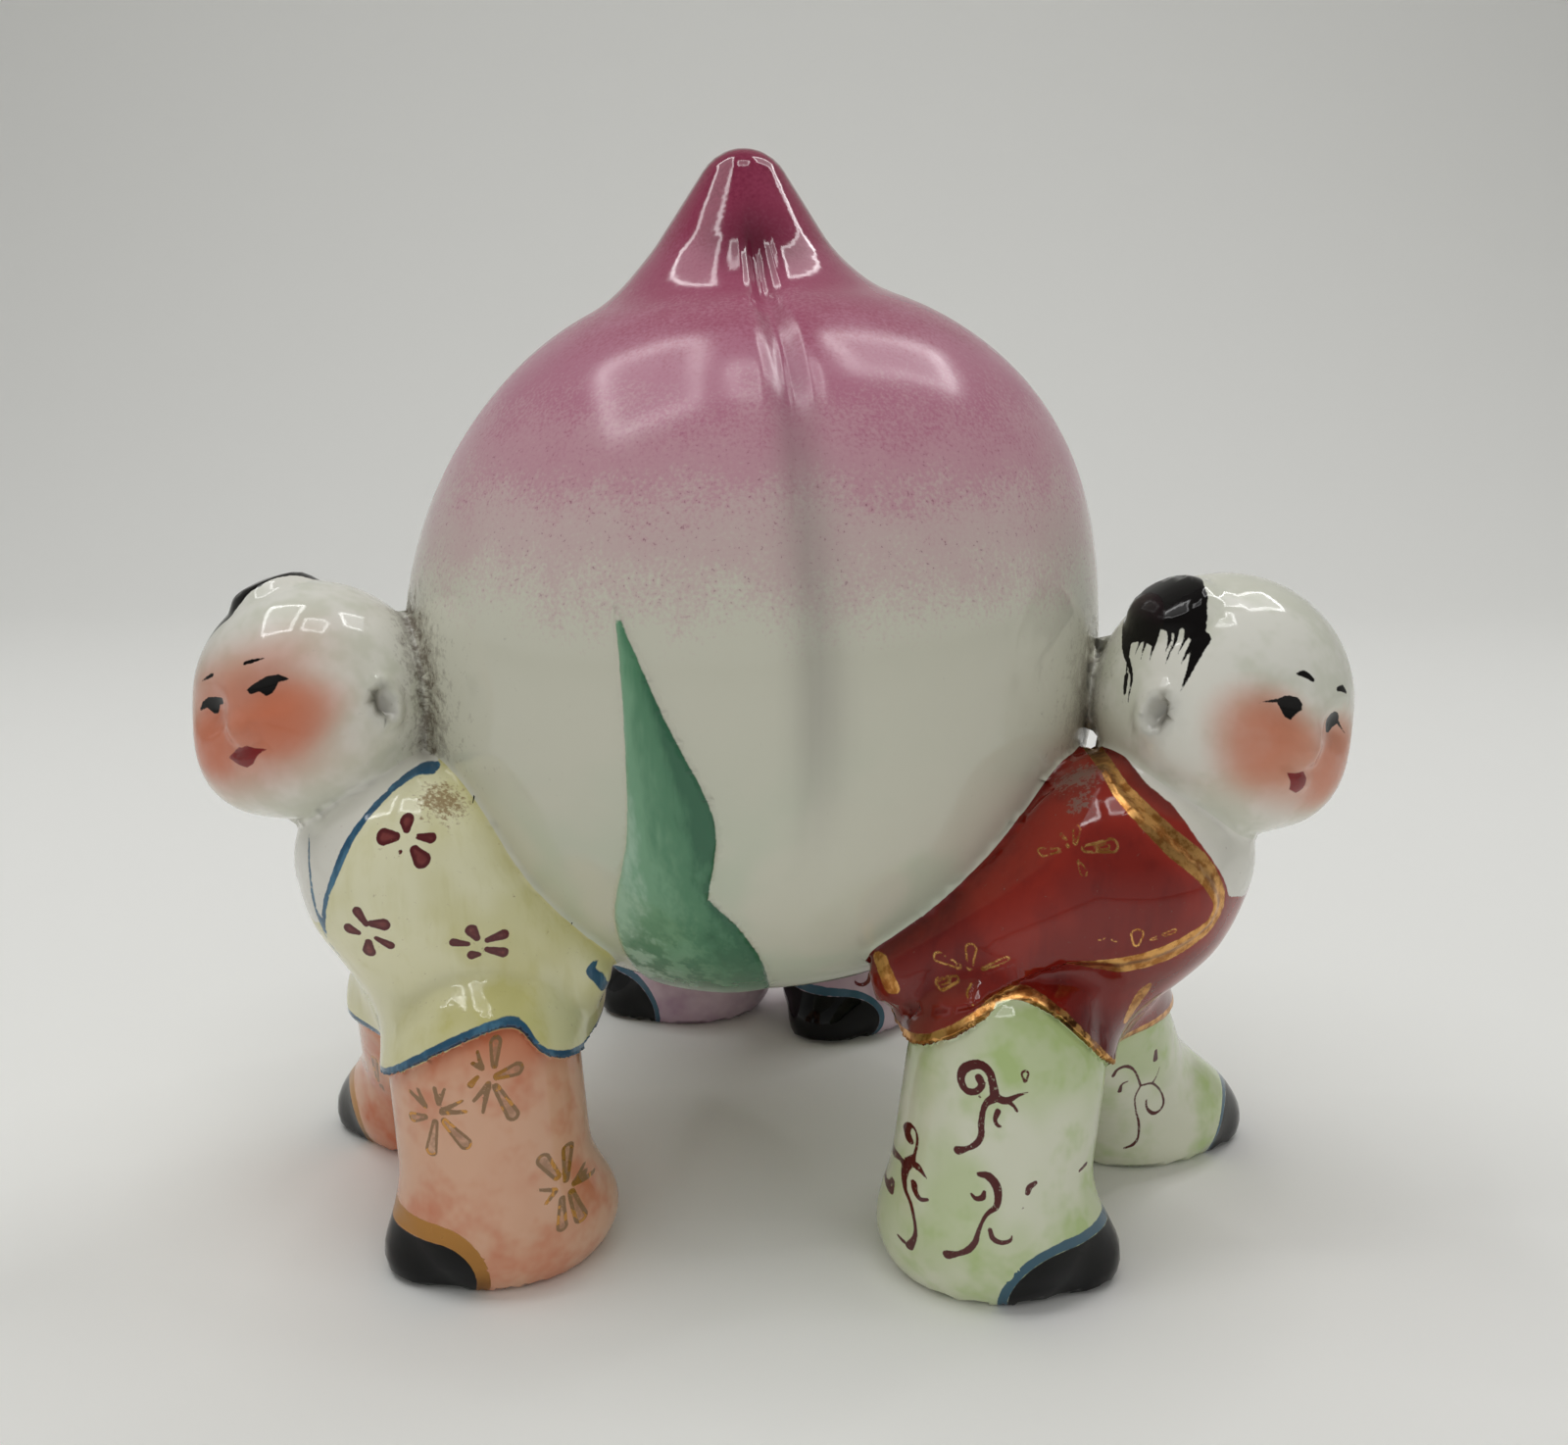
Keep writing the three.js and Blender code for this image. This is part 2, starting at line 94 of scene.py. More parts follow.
# The boys: each mass is x, y, z, radius; headings are degrees from +X to +Y
BOYS = [
    dict(
        name="red",
        hips=(30.5, -23, 29, 12.6),
        chest=(44, -25, 44.5, 13),
        collar=(52, -23, 46.5, 8.5),
        sleeves=[
            ((43.5, -29, 44.5, 12), (20, -29, 33.5, 5.4)),
            ((43.5, -20, 45, 11), (24, -12, 34, 5.4)),
        ],
        legs=[
            dict(thigh=(30, -34, 23.5, 11.6), ankle=(27.8, -37.4, 9, 11.6), foot=(28.5, -37), heading=-12),
            dict(thigh=(42, -16, 25, 10), ankle=(49, -6, 9, 9.8), foot=(52, -5.2), heading=14),
        ],
        hem=dict(along=0, line=[(14, 24.5), (21, 28.9), (26, 32.1), (30.6, 33.9), (36, 31.4), (42.5, 24)]),
        head=dict(at=(56.6, -20, 64.3), radius=0.99, heading=-61.5, lean=21.4, leans_to=8),
        hair=dict(middle=(-1, -12, 7.5), size=1),
    ),
    dict(
        name="yellow",
        hips=(-31.5, -22, 29, 12.6),
        chest=(-39.9, -25, 45, 11.8),
        collar=(-46.2, -23, 46.5, 8),
        sleeves=[
            ((-40.5, -28, 45, 11.2), (-22, -27, 33, 5.4)),
            ((-40.5, -19, 45, 10.5), (-25, -10, 34, 5.4)),
        ],
        legs=[
            dict(thigh=(-31, -33, 23, 11.2), ankle=(-29.6, -35, 9, 11.2), foot=(-28.6, -33.6), heading=205),
            dict(thigh=(-41, -15, 25, 9.6), ankle=(-43.6, -3, 9, 9.4), foot=(-43.4, -2), heading=166),
        ],
        hem=dict(along=180, line=[(17, 24.4), (22.6, 27.2), (26.6, 31), (34, 29), (42.5, 23.6)]),
        head=dict(at=(-52, -20, 64.4), radius=0.92, heading=247.5, lean=19.8, leans_to=155),
        hair=dict(middle=(0.9, -1.4, 15.0), size=1.0),
    ),
    dict(
        name="lilac",
        hips=(2.5, 41, 29, 12.6),
        chest=(-5, 49, 45, 12.4),
        collar=(-8.5, 53, 48, 8.4),
        sleeves=[
            ((-4, 52, 45, 11.4), (19, 42, 33.5, 5.4)),
            ((-8, 45, 45, 11), (-27, 32, 47, 6)),
        ],
        legs=[
            dict(thigh=(-5, 42, 24, 11), ankle=(-10, 43, 9, 10.6), foot=(-11, 43), heading=190),
            dict(thigh=(11, 40, 24, 11), ankle=(15, 39.5, 9, 10.6), foot=(16, 39), heading=236),
        ],
        hem=dict(along=195, line=[(-24, 26), (-12, 29), (-4, 33.4), (4, 29), (14, 25)]),
        head=dict(at=(-12, 58, 64.5), radius=1, heading=142, lean=18, leans_to=130),
        hair=dict(middle=(-1, -12, 7.5), size=1),
    ),
]
HEAD = dict(
    size=(15.4, 15.3, 15.5),
    cheek=(6.6, 6, -4.6, 7.1),
    chin=(9, 0, -8.2, 4.7),
    nose=((14.9, 0, -1.2), (1.8, 1.7, 1.9)),
    lips=((14.3, 0, -5), (1.5, 2.6, 1.2)),
    eye_socket=((15.6, 6.2, 2.6), (2.4, 4.6, 2.3)),
    ear=((5, 14.1, -3.4), (2.5, 1.7, 3.3)),
    ear_hollow=((5.9, 15.2, -3.4), (1.1, 2.2, 2)),
)
FOOT = dict(hem_size=(13.1, 10.6, 8.4), hem_height=5, shoe_size=(6.9, 6.4, 6.2), shoe_height=2.6,
            shoe_ahead=8.2)
JACKET_STANDS_PROUD = 1
# How softly forms run into each other: the width of each fillet
FILLETS = dict(leg=4, legs=2, skirt=5, trunk=4, sleeves=1.6, hem=0.6, cheeks=4, sockets=2, features=1.4,
               ear_hollows=0.8, shoes=0.3, waist=0.5, ankles=1.5, neck=1.6, peach=1.6)
NOWHERE = 50.0  # the value of a form far from it
TINY = 1e-9
ON_GROUND = 1e-6

# Painted faces, in the head's own unit frame as (to the left, up); eyes and brows come in pairs
FACES = dict(
    slanting=dict(
        eye=[(2, 3.3), (3.2, 3.7), (4.8, 4.05), (6.4, 3.8), (7.7, 2.8), (6, 2.9), (5, 1.9), (4, 1.75),
             (3.3, 2.6), (2.2, 2.6)],
        brow=([(2.7, 6.4), (3.7, 6.35), (5.2, 6.2)], [0.45, 0.5, 0.12]),
        lips=[(-3.5, -3.9), (-1.6, -3.3), (-0.8, -3.1), (-0.3, -3.3), (0.4, -3.2), (1.3, -3.8),
              (3, -4.4), (1.7, -4.7), (0.6, -5.6), (-0.6, -5.8), (-2.1, -4.9)],
        cheek=(6.4, -1.6, 5.2, 3.8),
        broad=(10.4, -0.2, 8.6, 0.84),
    ),
    round=dict(
        eye=[(7.8, 1.85), (6.4, 2.6), (5.3, 3.15), (4.9, 3.6), (4.2, 3.95), (3.2, 4.05), (2.5, 3.6),
             (2.2, 2.9), (2.6, 2.2), (3.1, 1.4), (3.9, 1.5), (4.6, 2.2), (5.3, 2.7), (6.4, 2.35)],
        brow=([(4.3, 6.5), (3.3, 6.75), (2.2, 6.5)], [0.3, 0.8, 0.5]),
        lips=[(-1.9, -4.3), (-0.6, -4.0), (0.5, -3.5), (1.5, -4.1), (1.6, -5.2), (1.2, -6.2),
              (-0.4, -6), (-1.1, -5)],
        cheek=(6, -1.6, 5, 4.9),
        broad=(9.2, -3, 5.8, 0.66),
    ),
)
# The hair tuft on the skin of the head, as (ahead, up) round its middle
HAIR = [
    (-5.7, -3.7), (-8.2, -1.1), (-7.7, 1.3), (-6.3, 3.2), (-5.2, 5.5), (-2.3, 6.1), (1.4, 4.8),
    (4.3, 3), (6, 0.8), (7.2, -1.7), (7.3, -3.4), (6.6, -2.6), (4.8, -1.9), (4.4, -2.9), (2.7, -3.4),
    (2.4, -5.2), (1, -5), (-0.9, -5.5), (-1.9, -6.2), (-3.8, -5.2),
]
STRANDS = [
    ([(-3.4, -4.6), (-1.7, -6.6), (1.2, -8.7), (1.8, -11.1)], [1.6, 0.8, 0.45, 0.1]),
    ([(-2.2, -5), (-0.4, -7.6), (1.0, -10.2)], [1, 0.35, 0.05]),
    ([(0.4, -9), (0.9, -10.4)], [0.7, 0.5]),
    ([(6.9, -1.4), (7.7, -4.8), (8.1, -7.6)], [1.8, 0.75, 0.05]),
    ([(6.4, -2), (6.6, -5.2)], [0.9, 0.05]),
    ([(0.8, -4.6), (1.6, -6.9)], [0.6, 0.05]),
    ([(0, -4.8), (0.4, -6.8)], [0.5, 0.05]),
    ([(2.2, -4.6), (2.9, -6.6)], [0.6, 0.05]),
    ([(3.6, -2.6), (4.4, -5.4)], [0.7, 0.05]),
    ([(4.4, -2.4), (5, -6.2)], [0.5, 0.05]),
    ([(5.3, -1.8), (5.7, -4.4)], [0.6, 0.05]),
]

# Decoration of the clothes, in the boy's own side view: (ahead, height), and for the edges of a
# jacket (ahead, height, outwards from his middle). A petal is root, end, width, line: 0 fills it.
RED_SCROLLS = [
    ([(25.7, 26.6), (26, 25.9), (25.3, 25.1), (24.3, 25.1), (23.8, 26.1), (24.2, 27.3), (25.7, 28),
      (26.8, 27.4), (27.2, 26.1), (27.4, 24.8)],
     [0.9, 0.75, 0.7, 0.75, 0.85, 0.95, 0.95, 0.9, 0.9, 1.1]),
    ([(27.4, 24.8), (28.6, 24.5), (29.9, 25.1), (31.1, 25.4)], [0.9, 0.8, 0.4, 0.1]),
    ([(28.6, 24.5), (29.4, 24), (29.8, 23.4)], [0.5, 0.35, 0.3]),
    ([(27.4, 24.8), (26.5, 24.1), (26.1, 23.2), (25.9, 21.8), (25.9, 20.7), (25.4, 19.7), (24.4, 19),
      (23.4, 18.6)],
     [1.1, 0.7, 0.6, 0.7, 0.7, 0.7, 0.5, 0.9]),
    ([(27.7, 23.3), (27.4, 22.5), (27.6, 21.9), (28, 21.7)], [0.7, 0.5, 0.4, 0.3]),
    ([(25.75, 24.65), (25.8, 24.6)], [0.25, 0.25]),
    ([(18.4, 17.5), (18.2, 18.2), (18.6, 19), (19.1, 18.7), (19.2, 17.8), (18.9, 16.3), (18.6, 15.6),
      (18, 14.5)],
     [0.9, 0.7, 0.4, 0.25, 0.25, 0.3, 0.7, 0.8]),
    ([(18, 14.5), (17.3, 14.7), (16.6, 13.9), (15.8, 12.3), (15.8, 11), (16.3, 10.8), (16.7, 11.9)],
     [0.7, 0.6, 0.4, 0.3, 0.5, 0.7, 0.3]),
    ([(18.2, 15.2), (19.2, 15.3), (20.1, 14.6)], [0.6, 0.8, 0.15]),
    ([(18, 14.5), (17.8, 13.4), (17.9, 12.2), (18.4, 11.3), (18.7, 10.1), (18.9, 8.8), (18.8, 7.7),
      (18.3, 6.3)],
     [0.8, 0.6, 0.45, 0.4, 0.35, 0.35, 0.5, 0.9]),
    ([(17.7, 6.5), (17.1, 6.8)], [0.5, 0.3]),
    ([(18.8, 13.4), (18.9, 12.7), (19.4, 12.2), (20.2, 12.5)], [0.7, 0.6, 0.5, 0.3]),
    ([(25.6, 16.5), (26.6, 16.4), (27.4, 15.6), (27.7, 14.5), (27.5, 13.2), (26.6, 12.5), (26, 11.6),
      (25.5, 10.3), (25.2, 9.2), (24.5, 8.2), (23.4, 7.5), (22.3, 7.1)],
     [0.5, 0.9, 1.0, 0.9, 0.7, 0.5, 0.4, 0.5, 0.7, 0.8, 0.6, 1.1]),
    ([(24.8, 14.3), (25.3, 13.9), (26, 14.1), (26.2, 14.7)], [0.3, 0.5, 0.7, 0.4]),
    ([(26.8, 10.7), (27.1, 9.8), (28, 9.3), (29, 9.5), (29.2, 10)], [0.5, 0.6, 0.55, 0.45, 0.2]),
    ([(31.9, 15.5), (31.2, 15.1), (31, 14.5)], [0.5, 0.75, 0.6]),
    ([(30.3, 12.9), (30.5, 12.9)], [0.2, 0.2]),
    ([(37.4, 15.1), (38.3, 15.3)], [0.35, 0.5]),
]
RED_FAR_SCROLLS = [
    ([(45.2, 16.9), (45.6, 18), (46.8, 18.3), (48.1, 17.1), (49.3, 14.4)], [0.5, 0.4, 0.55, 0.3, 0.35]),
    ([(49.3, 14.4), (51, 14.2), (52.5, 12.4), (53.2, 10.5), (52.7, 9.4), (51.7, 9.2), (50.8, 10.2),
      (50.5, 11.6)],
     [0.35, 0.35, 0.25, 0.35, 0.3, 0.6, 0.35, 0.25]),
    ([(51, 14.2), (51.5, 15.1), (51.9, 16.5)], [0.3, 0.2, 0.1]),
    ([(49.3, 14.4), (48.8, 12.5), (49.3, 10), (49.9, 8), (50, 5.8), (49.4, 4.6), (48.4, 4)],
     [0.3, 0.25, 0.25, 0.35, 0.3, 0.5, 0.3]),
    ([(46.5, 14), (46.6, 15.2), (47.3, 15.6)], [0.6, 0.3, 0.25]),
    ([(50.9, 19.3), (51, 18)], [0.45, 0.8]),
]
RED_FLOWERS = [
    ((37.6, 51.2), (41.1, 52), 1.5, 0.24), ((38.6, 51.4), (40.2, 51.8), 0.7, 0.18),
    ((36.6, 51.6), (37, 53.4), 0.9, 0.2), ((35.9, 51.1), (35.3, 52.3), 0.6, 0.16),
    ((35, 50.6), (32.8, 49.9), 0.9, 0.18), ((36.9, 49.8), (37.5, 48.4), 0.9, 0.16),
    ((25.2, 36.9), (25.4, 39.6), 1.4, 0.24), ((24, 36.8), (21.2, 37.7), 1.3, 0.24),
    ((23.7, 35.5), (21.4, 34.4), 1.4, 0.24), ((23, 35.2), (21.8, 34.7), 0.7, 0.18),
    ((26.6, 36.9), (29.6, 38.4), 0.8, 0.2), ((43.1, 41.2), (43.1, 43.1), 1.6, 0.24),
    ((44.7, 41.7), (47.6, 42.7), 0.7, 0.2),
]
RED_FLOWER_LINES = [
    ([(25.3, 35.4), (24.7, 34.5), (25.3, 33.7)], [0.18, 0.22, 0.2]),
    ([(38.8, 41.3), (39.9, 41.7), (41, 41.3)], [0.2, 0.2, 0.2]),
]
YELLOW_FLOWERS = [
    ((38.2, 52.9), (38.4, 54.4), 1.59, 0), ((39.3, 52.2), (41.5, 52.2), 1.76, 0),
    ((36.9, 52.1), (35, 51.7), 1.09, 0), ((37.2, 50.8), (35.8, 49), 1.87, 0),
    ((38.7, 50.55), (38.7, 50.4), 0.53, 0), ((42.7, 42.6), (43.9, 44.6), 1.26, 0),
    ((43.8, 41.4), (45.5, 42), 1.37, 0), ((42.1, 42.7), (39.9, 42.6), 1.54, 0),
    ((41.7, 40.8), (39.8, 39.6), 1.14, 0), ((42.7, 40.2), (43, 38.1), 1.65, 0),
    ((30.8, 40.1), (31.7, 41.7), 1.42, 0), ((29.7, 39.7), (27.4, 40.2), 1.2, 0),
    ((31.8, 39.5), (33.8, 40), 1.03, 0), ((30.7, 38.1), (32, 38.1), 1.14, 0),
    ((29.8, 38.6), (27.5, 37.8), 1.2, 0), ((46.3, 27.2), (46.9, 26.2), 1.2, 0),
    ((47.6, 25.6), (48, 24.8), 0.98, 0),
]
TROUSER_FLOWERS = [
    ((28.2, 27.5), (28.2, 30.3), 1.4, 0.38), ((27.9, 26.3), (25.1, 26.9), 1.5, 0.38),
    ((28, 25.2), (25.9, 21.2), 1.5, 0.38), ((30, 26.4), (31, 25.3), 0.8, 0),
    ((33.8, 21.3), (30.9, 18.5), 1.6, 0.34), ((34.9, 21), (35.6, 17), 1.5, 0.34),
    ((36.1, 21.4), (38.3, 20.7), 1.2, 0.3), ((21.7, 13.5), (23.5, 16.6), 1.5, 0.36),
    ((20.8, 12.7), (20.7, 16.6), 1.2, 0.36), ((20.3, 11.1), (19.1, 7.2), 1.35, 0.36),
    ((21.2, 10.9), (21.2, 7.2), 1.2, 0.32), ((20, 12), (18.8, 12.1), 0.7, 0),
]
TROUSER_LINES = [
    ([(28.8, 25.6), (30.4, 23.8)], [0.65, 0.4]),
    ([(28.8, 25.5), (29.4, 22.5)], [0.7, 0.4]),
    ([(29.5, 27.3), (30.1, 28.9)], [0.6, 0.35]),
    ([(29.6, 27.3), (30.6, 27.8)], [0.6, 0.4]),
    ([(34.5, 23.3), (34.9, 24.9)], [0.6, 0.5]),
    ([(34.4, 23.3), (33.7, 25)], [0.6, 0.35]),
    ([(36.1, 22.7), (38, 23.8)], [0.7, 0.45]),
    ([(36.1, 22.7), (37, 24.4)], [0.6, 0.4]),
    ([(34.1, 22.5), (31.7, 23.8)], [0.6, 0.35]),
    ([(34.1, 22.3), (31.3, 22.6)], [0.65, 0.4]),
    ([(20, 11.9), (19.2, 12.9)], [0.6, 0.4]),
    ([(19.9, 11.8), (18.3, 11.3)], [0.6, 0.4]),
    ([(21.9, 12.2), (23.6, 12.8)], [0.5, 0.3]),
    ([(21.9, 12), (22.8, 11.1)], [0.6, 0.4]),
]
YELLOW_FAR_PETALS = [
    ((48.7, 12.8), (48.1, 17.6), 1.2, 0.3), ((48.3, 11.9), (49.1, 5.1), 1.3, 0.3),
    ((50.4, 9.6), (52.4, 6.1), 1.6, 0.3),
]
DECORATION = [
    dict(
        near_side=-1,
        middle=(44, -25),
        shift=0,
        lapel=([(41.1, 58.9, 1.5), (42.1, 56.9, 7.5), (44, 54.9, 10.7), (47.4, 51.7, 13),
                (50.4, 49.3, 12.7), (52.4, 46.6, 12.1), (53.1, 44.4, 11.6), (52, 42.4, 12.3),
                (49.6, 40.9, 13.9), (46.1, 39.3, 14.6), (41.6, 38, 14.2), (38.5, 37.9, 13.9),
                (36.1, 38, 13.7)],
               [1.9, 2.1, 2.3, 2.6, 2.6, 2.3, 2, 2.1, 2.5, 2.7, 2.5, 1.5, 0.5]),
        cuff=([(15.4, 35.9), (16.6, 33.2)], [1.6, 1.8]),
        far_edge=([(45.9, 34.4, 10.5), (45.3, 33, 10.6), (44.1, 29.2, 9)], [0.8, 1.5, 1.2]),
        shirt_reach=50,
        shirt=[(43.2, 60), (45.3, 57.2), (47.9, 55.3), (49.4, 53.3), (50.8, 51.3), (52.3, 49.4),
               (53.9, 46.9), (54.8, 44.6), (58, 43), (66, 46), (66, 66), (43.2, 66)],
        sleeve=[(30.6, 35.6), (25.6, 33.6), (10, 28), (10, 70), (41.1, 70)],
        creases=[([(39.5, 36.2), (36.5, 36.3), (32, 35.2), (28, 33.6)], 1.7, 1.0),
                 ([(41, 34.5), (40.2, 31), (39.6, 27)], 1.4, 0.4)],
        hem_width=1.35,
        jacket_petals=RED_FLOWERS,
        jacket_lines=RED_FLOWER_LINES,
        trouser_petals=[((30.7, 26.7), (30.7, 27.8), 1, 0.26)],
        trouser_lines=RED_SCROLLS,
        inner_petals=[],
        inner_lines=RED_FAR_SCROLLS,
        toes=[(9.4, 6.6, 7.2), (12.2, 4.2, 8.2)],
        toe_band=1.2,
        face="round",
    ),
    dict(
        near_side=1,
        middle=(-40, -24),
        shift=0,
        lapel=([(36.6, 57.8, 4.2), (38.3, 57.8, 4.9), (40.2, 56.8, 7.7), (41.4, 55.7, 9.5),
                (43, 54, 11.2), (44.5, 51.8, 12.5), (45.5, 49.8, 13.2), (46.5, 47.4, 13.5),
                (47.6, 44.7, 13), (48.3, 41.8, 12), (48.6, 39, 11.6), (47.6, 36.6, 9.8)],
               [0.9, 0.85, 0.7, 0.6, 0.65, 0.8, 1.0, 0.75, 0.6, 0.55, 0.5, 0.4]),
        cuff=([(18.1, 35), (18.6, 34.1), (17.8, 32.9), (17.3, 31.2)], [0.5, 1.1, 1.1, 0.9]),
        far_edge=([(52.5, 56, 3), (51.6, 52.5, 7), (50.6, 50.1, 8.6), (49.9, 46.8, 10.9),
                   (49.3, 43.1, 11.8), (48.4, 40.2, 11.5)],
                  [0.4, 0.4, 0.4, 0.45, 0.5, 0.5]),
        shirt_reach=50,
        shirt=[(36.6, 58), (38.3, 57.8), (40.2, 56.8), (41.4, 55.7), (43, 54), (44.5, 51.8),
               (45.5, 49.8), (46.5, 47.4), (47.6, 44.7), (48.3, 41.8), (50, 41), (60, 44), (60, 64),
               (36.6, 64)],
        sleeve=None,
        creases=[([(38.5, 33), (36.5, 34.6), (33.7, 35.6), (29.4, 35.6), (26.3, 34.2)], 1.5, 0.55),
                 ([(39.5, 29.5), (36.5, 31.5), (34.5, 33)], 1.0, -0.35)],
        hem_width=1.2,
        jacket_petals=YELLOW_FLOWERS,
        jacket_lines=[],
        trouser_petals=TROUSER_FLOWERS,
        trouser_lines=TROUSER_LINES,
        inner_petals=YELLOW_FAR_PETALS,
        inner_lines=[],
        toes=[(10.7, 4.1, 6.9), (12, 4, 7.8)],
        toe_band=2.3,
        face="slanting",
    ),
    dict(
        near_side=1,
        middle=(-3, 46),
        shift=51,
        lapel=([(39.5, 60.5, 1.5), (41.8, 58, 7), (44.2, 54.9, 10.2), (46.6, 51.7, 12.5),
                (48.4, 49.3, 12.2), (49.9, 46.6, 11.6), (50.6, 44.4, 11)],
               [1.2, 1.4, 1.5, 1.6, 1.6, 1.3, 0.6]),
        cuff=([(15.4, 35.9), (16.6, 33.2)], [1.6, 1.8]),
        far_edge=None,
        shirt_reach=-1.5,
        shirt=[(41.3, 60.5), (44, 57.5), (47, 54.4), (49.2, 51.4), (51, 48.4), (52.3, 45), (55, 44),
               (55.5, 50), (55.5, 68), (41.3, 68)],
        sleeve=None,
        creases=[([(38.5, 36.5), (33.7, 36), (28, 34.2)], 1.6, 0.6)],
        hem_width=1.3,
        jacket_petals=RED_FLOWERS,
        jacket_lines=[],
        trouser_petals=[],
        trouser_lines=RED_SCROLLS,
        inner_petals=[],
        inner_lines=[],
        toes=[(11.5, 4.6, 7.6), (11.5, 4.6, 7.6)],
        toe_band=1.2,
        face="slanting",
    ),
]
HAIR_SWELLING = dict(middle=(-0.6, 0.6), size=(7.2, 5.6), height=1.3, fades=(1.1, 0.45))
SLEEVE_RELIEF, SLEEVE_SLOPE = 0.7, 0.45
CREASED_FROM = (3, 6)  # how far outwards the creases of a jacket begin and are full
PETAL_ROOT = 0.55  # the width of a petal's root as a share of its widest
OUTWARDS_SHARE = 0.12  # how much of a distance outwards counts for a stroke on a jacket
OUTER_FROM, INNER_TO = 7.0, 4.0  # where the decorated sides of the clothes begin and end
FAR_SIDE_FROM = -10.0
HEM_SHIFT = 0.8  # how far up the painted hem is set, as a share of its half width
TUFT_FROM = 4.0  # hair lies only this far and farther out from the head's middle
FACE_FROM = 6.0  # the face lies only this far and farther ahead
BLUSH = dict(cheek=0.8, cheek_ends=2.2, fades_behind=(2, 8))
# Where the painted shade in the ear hollows lies, round each hollow
EAR_HOLLOW_SHADE = dict(behind=0.4, wide=1.3, tall=2, outwards=12)
# How far the painted shade in the creases between parts reaches
CREASE_SHADE_REACH = 1.6
# How far the painted shade and soot reach from where the heads meet the peach, and the scale of the peach's
# distances
SOOT_AND_SHADE = dict(reach=3, on_peach=0.6)
GROOVE_SPREAD = 1.3
HEAD_ROOM, FOOT_ROOM, TOE_ROOM = 2, 3, 1


# Forms: each takes points (n, 3) and gives values below 0 inside and above 0 outside
def length(v):
    return np.sqrt(np.einsum("ij,ij->i", v, v))


def smooth_step(low, high, value):
    t = np.clip((value - low) / (high - low), 0, 1)
    return t * t * (3 - 2 * t)


def ball(mass):
    return lambda p: length(p - np.array(mass[:3])) - mass[3]


def limb(start, end):
    """The smooth skin over two balls of different radius."""
    foot = np.array(start[:3], float)
    along = np.array(end[:3], float) - foot
    span = math.sqrt(along @ along)
    taper = (start[3] - end[3]) / span
    straight = math.sqrt(1 - taper * taper)

    def form(p):
        off = p - foot
        ahead = off @ along / span
        aside = np.sqrt(np.maximum(np.einsum("ij,ij->i", off, off) - ahead * ahead, 0))
        side = straight * ahead - taper * aside
        cone = straight * aside + taper * ahead - start[3]
        first = np.hypot(ahead, aside) - start[3]
        last = np.hypot(ahead - span, aside) - end[3]
        return np.where(side < 0, first, np.where(side > straight * span, last, cone))

    return form


def turned(heading):
    c, s = math.cos(math.radians(heading)), math.sin(math.radians(heading))
    return np.array([[c, s, 0], [-s, c, 0], [0, 0, 1]])


def egg(centre, radii, frame=np.eye(3)):
    radii = np.array(radii, float)

    def form(p):
        q = (p - np.array(centre)) @ frame.T
        scaled = length(q / radii)
        return scaled * (scaled - 1) / np.maximum(length(q / radii**2), TINY)

    return form


def pair_blend(a, b, width):
    near = np.maximum(width - np.abs(a - b), 0) / width
    return np.minimum(a, b) - near * near * width / 4


def blend(width, *forms):
    def form(p):
        value = forms[0](p)
        for other in forms[1:]:
            value = pair_blend(value, other(p), width)
        return value

    return form


def carve(width, form, tool):
    return lambda p: -pair_blend(-form(p), tool(p), width)


def curve_through(points, steps=6):
    """A smooth line through points, as points close together."""
    given = np.array(points, float)
    padded = np.vstack([2 * given[0] - given[1], given, 2 * given[-1] - given[-2]])
    t = np.arange(steps)[:, None] / steps
    spans = []
    for a, b, c, d in zip(padded[:-3], padded[1:-2], padded[2:-1], padded[3:]):
        spans.append(b + 0.5 * t * (c - a + t * (2 * a - 5 * b + 4 * c - d + t * (3 * (b - c) + d - a))))
    return np.vstack([*spans, given[-1:]])


# Drawn shapes: signed distances in mm, below 0 within the shape
REACH = 3.0  # past which a shape's distance isn't worked out


def near_line(q, line, room):
    return np.all((q > line.min(0) - room) & (q < line.max(0) + room), axis=1)


def stroke(q, line, widths, steps=4):
    """A brush stroke along a line; its full widths are given where the line's points are."""
    smooth = curve_through(line, steps) if len(line) > 2 and steps > 1 else np.array(line, float)
    places = np.linspace(0, len(line) - 1, len(smooth))
    half = np.interp(places, np.arange(len(line)), np.broadcast_to(widths, len(line))) / 2
    value = np.full(len(q), REACH)
    near = near_line(q, smooth, REACH + half.max())
    r = q[near]
    best = np.full(len(r), REACH)
    for a, b, from_half, to_half in zip(smooth[:-1], smooth[1:], half[:-1], half[1:]):
        along = b - a
        t = np.clip((r - a) @ along / max(along @ along, TINY), 0, 1)
        best = np.minimum(best, length(r - a - t[:, None] * along) - from_half - t * (to_half - from_half))
    value[near] = best
    return value


def patch(q, outline, steps=1):
    """The inside of a closed outline of 2-D points."""
    loop = np.array([*outline, outline[0]], float)
    value = np.full(len(q), REACH)
    near = near_line(q, loop, REACH)
    r = q[near]
    edge = stroke(r, loop, 0, steps)
    odd = np.zeros(len(r), bool)
    for (x0, y0), (x1, y1) in zip(loop[:-1], loop[1:]):
        if y0 != y1:
            between = (r[:, 1] > y0) != (r[:, 1] > y1)
            odd ^= between & (r[:, 0] < x0 + (r[:, 1] - y0) * (x1 - x0) / (y1 - y0))
    value[near] = np.where(odd, -edge, edge)
    return value


def petal(q, root, end, width):
    """A drop that is narrow at its root and round at its end."""
    root, end = np.array(root, float), np.array(end, float)
    heart = end - (end - root) / np.linalg.norm(end - root) * width / 2
    return stroke(q, [root, heart], [width * PETAL_ROOT, width], 1)


def outlined(value, line_width):
    """A line along the inside of a shape's edge."""
    return np.abs(value + line_width / 2) - line_width / 2


